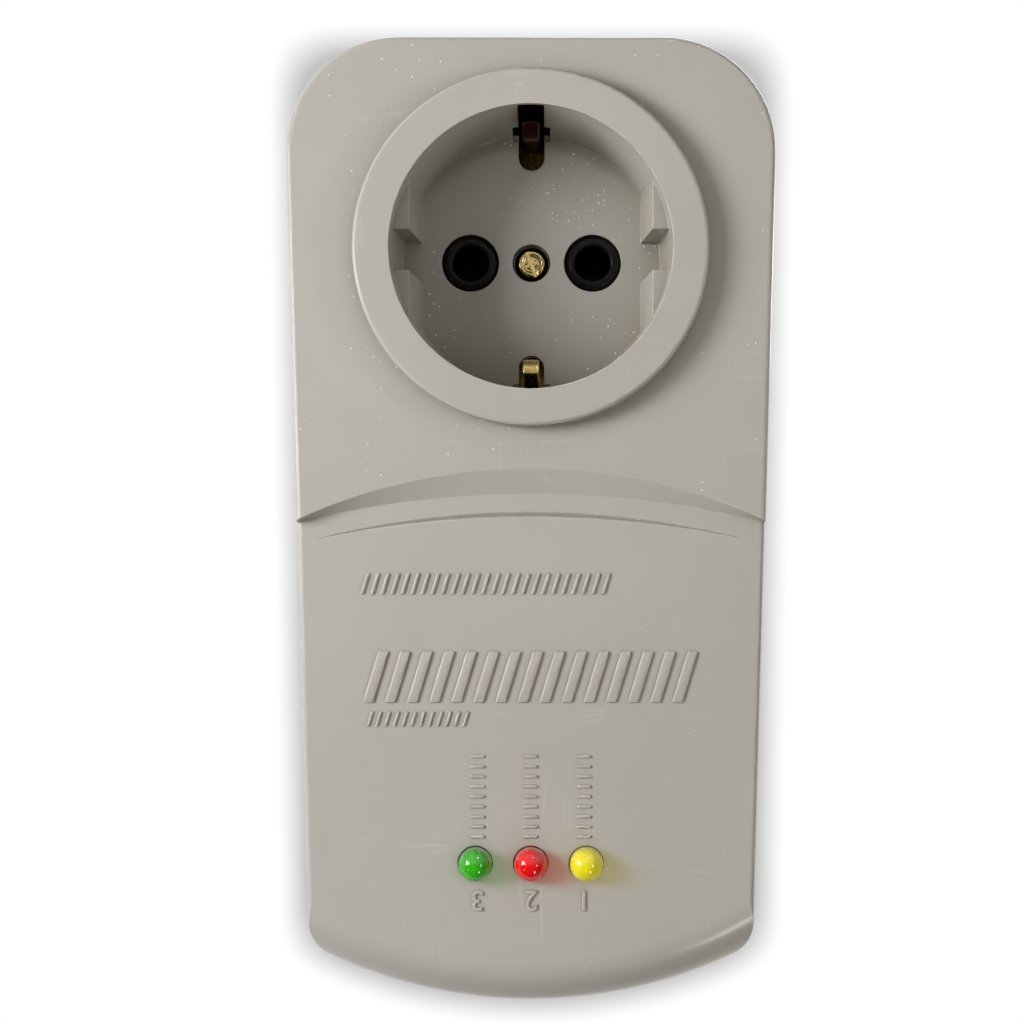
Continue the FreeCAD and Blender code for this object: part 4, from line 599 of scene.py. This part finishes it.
def wornScrewFinish(front):
    # brass with painted shade in the well round its crown
    look = dict(metalLooks["brass_screw"], colour=paint(1.0, 0.82, 0.42), shade=paint(0.88, 0.62, 0.26),
                stained=0.25, rub=0.1, grain=500.0)
    material = metalFinish("worn_screw_finish", look)
    tree = material.node_tree
    colour = tree.nodes["Principled BSDF"].inputs["Base Color"]
    # painted shade: a near-black band from just behind the crown back along the shank
    sunk = axisBand(tree, "Y", front + screwLook["wellShadeFrom"] * mm, front + screwLook["wellShadeTo"] * mm,
                    screwLook["wellShadeSoft"] * mm)
    tree.links.new(blendColour(tree, sunk, colour.links[0].from_socket, screwLook["wellShadeColour"]), colour)
    return material


def screwPiece(look):
    # Point(s, t) = radius(s) * (cos t, 0, sin t) + depth(s, t) along Y, where the crown's depth is a
    # shallow dome with a bowl in its middle, pressed in along the slot and the cross.
    low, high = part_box("centre_screw")
    headRadius = (high.x - low.x) / 2 / mm
    front, end = low.y / mm, high.y / mm
    crownRadius = look["crownRadius"]
    share = np.linspace(look["firstRing"], 1.0, look["rings"])
    crownRings = crownRadius * np.sin(share * math.pi / 2)
    out, softFrom = crownRings / crownRadius, look["softFrom"]
    drop = look["crown"] * out ** 2
    drop = drop + look["soft"] * np.clip((out - softFrom) / (1 - softFrom), 0.0, 1.0) ** 3
    drop = drop + look["bowl"] * (1 - softStep(crownRings, look["bowlRadius"], look["bowlWide"]))
    length, shank, skirt = end - front, look["shank"], look["skirt"]
    flange, rounded = look["flangeDrop"], look["flangeRound"]
    headDeep = flange + look["headDeep"]
    sideRadius = np.array([crownRadius + skirt, crownRadius + 2 * skirt, headRadius - rounded,
                           headRadius, headRadius, shank, shank, look["shankEnd"]])
    sideDepth = np.array([look["skirtDeep"], flange - look["lip"], flange, flange + rounded,
                          headDeep, headDeep, length - look["shankTaper"], length])
    radius = np.concatenate([crownRings, sideRadius])
    depth = np.concatenate([drop, sideDepth])
    turn = fullTurn(look["around"])
    x, z = radius[:, None] * np.cos(turn), radius[:, None] * np.sin(turn)
    lean = math.radians(look["slotAngle"])
    along = x * math.cos(lean) + z * math.sin(lean)
    across = -x * math.sin(lean) + z * math.cos(lean)
    blur = look["blur"]
    worn = look["wear"] * np.sin(look["wearRate"] * along + look["wearStart"])
    slot = 1 - softStep(np.abs(across + worn), look["slotHalf"], blur)
    reach = 1 - softStep(np.abs(across), look["crossReach"], 2 * blur)
    cross = (1 - softStep(np.abs(along + worn), look["crossHalf"], blur)) * reach
    pit = look["bowl"] * look["bowlShare"]
    pressed = np.maximum(look["slotDepth"] * slot, look["crossDepth"] * cross)
    pressed = np.maximum(depth[:, None], (pressed + pit) * (pressed > 0))
    pressed = pressed - depth[:, None]
    onCrown = (np.arange(len(radius)) < len(crownRings))[:, None]
    deep = depth[:, None] + np.where(onCrown, pressed, 0.0)
    edge = len(crownRings)
    deep[edge] = np.maximum(deep[edge], deep[edge - 1] + look["leastStep"])
    grid = np.stack([x, front + deep, z], axis=-1).reshape(-1, 3)
    middle = front + max(look["slotDepth"], look["crossDepth"]) + pit
    points = np.vstack([grid, [[0.0, middle, 0.0], [0.0, end, 0.0]]]) * mm
    piece = surfaceMesh("middle_screw", points, ringFaces(len(radius), look["around"]),
                        wornScrewFinish(low.y), "housing")
    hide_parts("centre_screw")


screwPiece(screwLook)
print("clips and screw made")


# raised marks on the lower front panel, in place of lettering, in millimetres and degrees

panelFace = -0.0563      # the panel's place along Y, in metres
ribRows = {"wide_ribs": {"middle": (-0.1, -63.7), "count": 15, "pitch": 3.3, "size": (1.55, 7.6),
                         "slant": 17.0, "rise": 0.32},
           "narrow_ribs": {"middle": (-6.8, -49.8), "count": 25, "pitch": 1.5, "size": (0.5, 3.1),
                           "slant": 17.0, "rise": 0.26},
           "short_ribs": {"middle": (-16.9, -70.0), "count": 12, "pitch": 1.3, "size": (0.4, 2.2),
                          "slant": 17.0, "rise": 0.24}}
markLook = {"ladders": {"columns": (-8.0, -0.1, 7.9), "middle": -81.6, "count": 9, "pitch": 1.5,
                        "size": (2.1, 0.42), "rise": 0.22},
            "numbers": {"letters": (("3", -8.0), ("2", 0.0), ("1", 7.9)), "level": -97.0, "size": 4.3,
                        "rise": 0.28, "bevel": 0.05, "curveSteps": 8},
            "sink": 0.1, "round": 0.06, "shoulder": 0.35, "outline": 56, "squareness": 16.0}


def raisedBars(name, middles, size, rise, slant=0.0):
    # Point(s, t) = a squarish ring times the bar's half size, drawn in at its top and leaning by slant,
    # one such bar round each middle.
    turn = fullTurn(markLook["outline"])
    ringX, ringZ = squarishRing(turn, markLook["squareness"])
    soft = markLook["round"]
    shoulder = markLook["shoulder"] * soft
    drawnIn = np.array([0.0, 0.0, shoulder, soft])
    height = np.array([-markLook["sink"], rise - soft, rise - shoulder, rise])
    x = (size[0] / 2 - drawnIn)[:, None] * ringX
    z = (size[1] / 2 - drawnIn)[:, None] * ringZ
    lean = math.tan(math.radians(slant))
    y = np.broadcast_to(panelFace / mm - height[:, None], x.shape)
    one = np.stack([x + z * lean, y, z], axis=-1).reshape(-1, 3)
    poles = [[0.0, panelFace / mm + markLook["sink"], 0.0], [0.0, panelFace / mm - rise, 0.0]]
    one = np.vstack([one, poles])
    offsets = np.array([[place[0], 0.0, place[1]] for place in middles])
    points = (one[None, :, :] + offsets[:, None, :]).reshape(-1, 3) * mm
    oneFaces = ringFaces(len(height), len(turn))
    faces = [[corner + bar * len(one) for corner in face[::-1]] for bar in range(len(middles))
             for face in oneFaces]      # turned round, since these rings go forwards along Y
    piece = surfaceMesh(name, points, faces, finishes["housing"], "housing")


def numberMark(text, place, look):
    # a digit cut from the built-in face, turned half round as the housing's marks are
    letter = bpy.data.curves.new("digit", "FONT")
    letter.body, letter.size, letter.align_x, letter.align_y = text, look["size"], "CENTER", "CENTER"
    letter.extrude, letter.bevel_depth = look["rise"] / 2, look["bevel"]
    letter.resolution_u = look["curveSteps"]
    drawn = addObject("digit", letter)
    bpy.context.view_layer.update()
    mesh = bpy.data.meshes.new_from_object(drawn.evaluated_get(bpy.context.evaluated_depsgraph_get()))
    bpy.data.objects.remove(drawn)
    mesh.transform(Matrix.Rotation(math.pi / 2, 4, "X"))
    mesh.transform(Matrix.Rotation(math.pi, 4, "Y"))
    mesh.transform(Matrix.Scale(mm, 4))
    depth = panelFace - look["rise"] / 2 * mm + markLook["sink"] * mm
    mesh.transform(Matrix.Translation((place * mm, depth, look["level"] * mm)))
    work = bmesh.new()
    work.from_mesh(mesh)
    bmesh.ops.remove_doubles(work, verts=work.verts, dist=1e-6)
    bmesh.ops.recalc_face_normals(work, faces=work.faces)
    work.to_mesh(mesh)
    work.free()
    mesh.materials.clear()
    mesh.materials.append(finishes["housing"])
    piece = addObject("raised_number_" + text, mesh)
    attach(piece, "housing")


def evenSteps(row):
    # places along a row, the middle one at 0
    return (np.arange(row["count"]) - (row["count"] - 1) / 2) * row["pitch"]


for name, row in ribRows.items():
    middleX, middleZ = row["middle"]
    raisedBars("raised_" + name, [(middleX + step, middleZ) for step in evenSteps(row)],
               row["size"], row["rise"], row["slant"])
ladder = markLook["ladders"]
raisedBars("raised_ladders", [(column, ladder["middle"] + step) for column in ladder["columns"]
                              for step in evenSteps(ladder)], ladder["size"], ladder["rise"])
for text, place in markLook["numbers"]["letters"]:
    numberMark(text, place, markLook["numbers"])
print("raised marks made")


# camera

viewpoint = {"place": (0.00225, -0.361, -0.047), "lens": 71.67, "sensor": 36.0,
             "shift": (-0.0332, 0.0518)}
cameraData = bpy.data.cameras.new("camera")
cameraData.lens = viewpoint["lens"]
cameraData.sensor_width = viewpoint["sensor"]
cameraData.shift_x, cameraData.shift_y = viewpoint["shift"]
cameraData.clip_start = 0.01
camera = addObject("camera", cameraData)
camera.location = viewpoint["place"]
camera.rotation_euler = (math.pi / 2, 0.0, 0.0)
bpy.context.scene.camera = camera


# finishes that follow a piece's own shape

def bandedBodies(name, node, look, bands):
    # each band is a place and a width along X, in shares of the body's length
    material, tree, shader, colour = plasticFinish(name, look)
    low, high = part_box(node)
    length = high.x - low.x
    for place, width, bandColour in bands:
        start = low.x + place * length
        mask = axisBand(tree, "X", start, start + width * length)
        colour = blendColour(tree, mask, colour, bandColour)
    tree.links.new(colour, shader.inputs["Base Color"])
    return material


def windingFinish():
    # enamelled wire: one ridge for each turn along the coil, with painted shade in the grooves between
    # turns
    look = finishLook((0.62, 0.22, 0.07), (0.4, 0.12, 0.035), 0.25, pitch=0.00022, grain=1200.0,
                      drift=200.0, leastTone=0.6, glossy=0.2, dull=0.36, bump=0.00006)
    material, tree, shader = startMaterial("winding_finish", look["roughness"], Metallic=0.6,
                                           Coat_Weight=0.5)
    phase = times(tree, alongAxis(tree, "Y"), 2 * math.pi / look["pitch"])
    ridgeAndGrooveShade = spread(tree, calc(tree, "SINE", phase), -1.0, 1.0)
    grain = effect(tree, "grain", Grain=look["grain"], Drift=look["drift"])
    mixed = times(tree, ridgeAndGrooveShade, spread(tree, grain["Tone"], 0.0, 1.0, look["leastTone"]))
    tree.links.new(blendColour(tree, mixed, look["shade"], look["colour"]), shader.inputs["Base Color"])
    gloss = spread(tree, grain["Gloss"], 0.0, 1.0, look["glossy"], look["dull"])
    tree.links.new(gloss, shader.inputs["Roughness"])
    roughen(tree, shader, ridgeAndGrooveShade, look["bump"], 1.0)
    return material


def bricks(tree, where, scale, long, wide, gap, stagger):
    # the gaps between threads or tracks
    feeds = {"Vector": where, "Scale": scale, "Brick Width": long, "Row Height": wide,
             "Mortar Size": gap}
    return put(tree, "TexBrick", feeds, offset=stagger).outputs["Fac"]


def boardFinish():
    # laminate under a green mask: glass weave, copper tracks that show through, and a bare cut edge
    look = finishLook((0.012, 0.11, 0.03), (0.008, 0.07, 0.02), 0.35, track=paint(0.03, 0.2, 0.05),
                      edge=paint(0.4, 0.38, 0.18), edgeFrom=0.9, edgeFull=0.6, grain=1800.0, drift=70.0,
                      weave=(1000.0, 0.5, 0.5, 0.06, 0.0), tracks=(160.0, 1.7, 0.41, 0.09, 0.37),
                      glossy=0.28, dull=0.45, weaveHeight=-0.3, bump=0.00003)
    material, tree, shader = startMaterial("board_finish", look["roughness"], IOR=1.5, Coat_Weight=0.4)
    place = put(tree, "TexCoord").outputs["Object"]
    turned = put(tree, "Mapping", {"Vector": place, "Rotation": (math.pi / 2, 0.0, 0.0)})
    weave = bricks(tree, turned.outputs[0], *look["weave"])
    tracks = bricks(tree, turned.outputs[0], *look["tracks"])
    grain = effect(tree, "grain", Grain=look["grain"], Drift=look["drift"])
    colour = blendColour(tree, grain["Tone"], look["shade"], look["colour"])
    colour = blendColour(tree, tracks, look["track"], colour)
    normal = put(tree, "NewGeometry").outputs["Normal"]
    facing = calc(tree, "ABSOLUTE", put(tree, "SeparateXYZ", {"Vector": normal}).outputs["Y"])
    colour = blendColour(tree, spread(tree, facing, look["edgeFrom"], look["edgeFull"]), colour,
                         look["edge"])
    tree.links.new(colour, shader.inputs["Base Color"])
    gloss = spread(tree, grain["Gloss"], 0.0, 1.0, look["glossy"], look["dull"])
    tree.links.new(gloss, shader.inputs["Roughness"])
    height = calc(tree, "MULTIPLY_ADD", weave, look["weaveHeight"], tracks)
    roughen(tree, shader, height, look["bump"])
    return material


def canFinish():
    # sleeved capacitor: dark sleeve with a pale stripe down one side and a bare scored end
    look = finishLook((0.01, 0.02, 0.06), (0.006, 0.012, 0.04), 0.25, rubbed=paint(0.08, 0.1, 0.16),
                      stripe=paint(0.5, 0.52, 0.55), stripeShare=0.12, bare=paint(0.62, 0.62, 0.6),
                      bareEnd=0.3)
    material, tree, shader, colour = plasticFinish("can_sleeve_finish", look)
    low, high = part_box("smoothing_capacitor")
    side = low.x + (high.x - low.x) * look["stripeShare"]
    stripe = axisBand(tree, "X", low.x - mm, side)
    colour = blendColour(tree, stripe, colour, look["stripe"])
    bare = axisBand(tree, "Y", high.y - look["bareEnd"] * mm, high.y + mm)
    colour = blendColour(tree, bare, colour, look["bare"])
    tree.links.new(colour, shader.inputs["Base Color"])
    tree.links.new(bare, shader.inputs["Metallic"])
    return material


finishes["copper_wire"] = windingFinish()
finishes["board_laminate"] = boardFinish()
finishes["can_sleeve"] = canFinish()
finishes["resistor_coat"] = bandedBodies(
    "resistor_finish", "resistors",
    finishLook((0.42, 0.31, 0.18), (0.34, 0.24, 0.13), 0.4, grain=900.0, bump=0.00005),
    ((0.16, 0.08, paint(0.4, 0.05, 0.02)), (0.33, 0.08, paint(0.16, 0.01, 0.25)),
     (0.5, 0.08, paint(0.6, 0.35, 0.01)), (0.78, 0.08, paint(0.5, 0.36, 0.1))))
finishes["diode_glass"] = bandedBodies(
    "diode_finish", "rectifier_diodes",
    finishLook((0.02, 0.02, 0.022), (0.012, 0.012, 0.013), 0.3, rubbed=paint(0.14, 0.14, 0.14)),
    ((0.76, 0.13, paint(0.6, 0.6, 0.58)),))
zenerFinish = bandedBodies(
    "zener_finish", "zener_diode",
    finishLook((0.55, 0.16, 0.05), (0.4, 0.1, 0.03), 0.12, coat=0.6),
    ((0.74, 0.13, paint(0.01, 0.01, 0.01)),))

# the contacts deep in the bores are painted near black as painted shade
shadedContactBrass = dict(metalLooks["spring_brass"], colour=paint(0.16, 0.1, 0.04),
                 shade=paint(0.08, 0.05, 0.02), roughness=0.42)
ownFinish = {"zener_diode": zenerFinish, "contact_live": metalFinish("contact_painted_shade_finish", shadedContactBrass)}
ownFinish["contact_neutral"] = ownFinish["contact_live"]
for name, piece in nodes.items():
    slotName = piece.data.materials[0].name
    piece.data.materials[0] = ownFinish.get(name, finishes[slotName])
print("finishes set on", len(nodes), "pieces")


# stage: pale floor, a pale wall behind the pins, lamps and surroundings

stageLook = {"floorDrop": 0.2, "behind": 0.0197, "reach": 1.6,
             # painted soft shadow on the wall round the housing's outline, in metres from it
             "shadowWide": 0.0042, "shadowDark": 0.45, "shadowFall": 1.25, "edgePlace": -0.0493,
             "halfWidth": 0.0357, "taper": 0.014, "top": 0.0316, "bowRadius": 0.072, "bottom": -0.1132,
             "corner": 0.016, "cornerBelow": 0.008, "coreIn": 0.014, "coreEdge": 0.001, "core": 0.5,
             # painted shade: darker floor where something stands near
             "floorNear": 0.15, "floorClosed": 0.4, "floorOpen": 0.9, "floorDark": 0.6}


def stageSheet(name, corners, material):
    mesh = bpy.data.meshes.new(name)
    mesh.from_pydata(corners, [], [(0, 1, 2, 3)])
    mesh.materials.append(material)
    sheet = addObject(name, mesh)


def wallShade(tree, look):
    # painted shadow: distance from the housing's outline, which is its sides, its top and its bowed
    # bottom,
    # joined by smooth maxima: the outline is drawn larger on the wall, as a small light by the camera
    # would throw it
    eye = viewpoint["place"]
    larger = (look["behind"] - eye[1]) / (look["edgePlace"] - eye[1])
    x = aboutEye(tree, alongAxis(tree, "X"), eye[0], larger)
    z = aboutEye(tree, alongAxis(tree, "Z"), eye[2], larger)
    halfWidth = calc(tree, "MULTIPLY_ADD", z, look["taper"], look["halfWidth"])
    side = calc(tree, "SUBTRACT", calc(tree, "ABSOLUTE", x), halfWidth)
    above = calc(tree, "SUBTRACT", z, look["top"])
    centre = look["bottom"] + look["bowRadius"]
    drop = calc(tree, "SUBTRACT", z, centre)
    away = calc(tree, "SQRT", calc(tree, "MULTIPLY_ADD", x, x, times(tree, drop, drop)))
    below = calc(tree, "SUBTRACT", away, look["bowRadius"])
    below = calc(tree, "MINIMUM", below, calc(tree, "SUBTRACT", centre, z))
    outline = calc(tree, "SMOOTH_MAX", side, above, look["corner"])
    outline = calc(tree, "SMOOTH_MAX", outline, below, look["cornerBelow"])
    near = spread(tree, outline, 0.0, look["shadowWide"], 1.0, 0.0)
    dark = times(tree, calc(tree, "POWER", near, look["shadowFall"]), look["shadowDark"])
    core = spread(tree, outline, -look["coreIn"], -look["coreEdge"], look["core"], 1.0)
    return calc(tree, "SUBTRACT", 1.0, times(tree, dark, core))


def stageMaterial(name, shaded):
    # white seen by the camera from the front, shaded as given, and clear to all else
    material = bpy.data.materials.new(name)
    material.use_nodes = True
    tree = material.node_tree
    tree.nodes.clear()
    glow = put(tree, "Emission", {"Strength": shaded(tree, stageLook)})
    clear = put(tree, "BsdfTransparent")
    path = put(tree, "LightPath").outputs
    back = put(tree, "NewGeometry").outputs["Backfacing"]
    seen = times(tree, path["Is Camera Ray"], calc(tree, "SUBTRACT", 1.0, back))
    pick = put(tree, "MixShader", {0: seen, 1: clear.outputs[0], 2: glow.outputs[0]})
    put(tree, "OutputMaterial", {"Surface": pick.outputs[0]})
    return material


def floorShade(tree, look):
    near = put(tree, "AmbientOcclusion", {"Distance": look["floorNear"]}, samples=8)
    return spread(tree, near.outputs["AO"], look["floorClosed"], look["floorOpen"],
                  look["floorDark"], 1.0)


reach, floorLevel, wallPlace = stageLook["reach"], -stageLook["floorDrop"], stageLook["behind"]
stageSheet("backdrop", [(-reach, wallPlace, floorLevel), (reach, wallPlace, floorLevel),
                        (reach, wallPlace, reach), (-reach, wallPlace, reach)],
           stageMaterial("pale_wall", wallShade))
stageSheet("floor", [(-reach, -reach, floorLevel), (reach, -reach, floorLevel),
                     (reach, reach, floorLevel), (-reach, reach, floorLevel)],
           stageMaterial("pale_floor", floorShade))

# lamps: place, size, watts, tint, and whether the object mirrors it
lamps = {
    "left": ((-0.355, -0.295, 0.03), (0.2, 0.16), 1.55, (0.985, 0.98, 1.0), False),
    "glint": ((-0.37, -0.27, 0.03), (0.1, 0.18), 0.6, (1.0, 0.99, 0.97), True),
    "spot": ((-0.3, -0.37, 0.02), (0.05, 0.1), 0.16, (1.0, 0.98, 0.95), True),
    "card": ((0.004, -0.5, 0.1), (0.05, 0.02), 0.015, (1.0, 0.98, 0.95), True),
    "right": ((0.4, -0.26, 0.0), (0.04, 0.12), 0.36, (1.0, 0.95, 0.86), False),
    "spotRight": ((0.3, -0.38, -0.08), (0.05, 0.1), 0.13, (1.0, 0.95, 0.86), True),
    "lowLeft": ((-0.52, -0.49, -0.4), (0.03, 0.075), 0.12, (1.0, 1.0, 1.0), True),
    "lowRight": ((0.2, -0.36, -0.42), (0.05, 0.11), 0.21, (1.0, 0.93, 0.82), True),
    "under": ((0.08, -0.14, -0.6), (0.2, 0.05), 0.3, (1.0, 0.97, 0.9), False),
    "top": ((0.22, -0.45, 0.6), (0.09, 0.045), 0.35, (1.0, 0.98, 0.94), True),
    "front": ((0.0, -0.93, 0.1), (0.4, 0.4), 0.45, (1.0, 0.97, 0.9), False),
    "back": ((0.3, 0.8, 0.35), (0.6, 0.6), 4.6, (1.0, 1.0, 1.0), True),
}
aim = Vector((0.0, -0.04, -0.04))
for name, (place, size, watts, tint, inMirror) in lamps.items():
    lampData = bpy.data.lights.new("lamp_" + name, "AREA")
    lampData.shape = "RECTANGLE"
    lampData.size, lampData.size_y = size
    lampData.energy, lampData.color = watts, tint
    lamp = addObject("lamp_" + name, lampData)
    lamp.location = place
    lamp.rotation_euler = (Vector(place) - aim).to_track_quat("Z", "Y").to_euler()
    lamp.visible_camera = False
    lamp.visible_glossy = inMirror

# white for the camera, and for reflections darker in front of the object, most of all low down
surroundings = {"tint": (1.0, 0.99, 0.97, 1.0), "soft": 0.12, "front": -0.25, "back": 0.35,
                "low": -0.05, "high": 0.6, "lowLight": 0.03, "highLight": 0.6}
world = bpy.data.worlds.new("surroundings")
bpy.context.scene.world = world
world.use_nodes = True
tree = world.node_tree
tree.nodes.clear()
direction = put(tree, "TexCoord").outputs["Generated"]
towards = put(tree, "SeparateXYZ", {"Vector": direction}).outputs
path = put(tree, "LightPath").outputs
upper = spread(tree, towards["Z"], surroundings["low"], surroundings["high"], surroundings["lowLight"],
               surroundings["highLight"])
behind = spread(tree, towards["Y"], surroundings["front"], surroundings["back"])
mirrored = calc(tree, "SUBTRACT", calc(tree, "MAXIMUM", behind, upper), surroundings["soft"])
seen = calc(tree, "MAXIMUM", path["Is Camera Ray"], path["Is Transmission Ray"])
strength = calc(tree, "MULTIPLY_ADD", path["Is Glossy Ray"], mirrored, surroundings["soft"])
strength = calc(tree, "MAXIMUM", strength, seen)
lit = put(tree, "Background", {"Color": surroundings["tint"], "Strength": strength})
put(tree, "OutputWorld", {"Surface": lit.outputs[0]})

bpy.context.scene.view_settings.view_transform = "Standard"
print("scene ready")
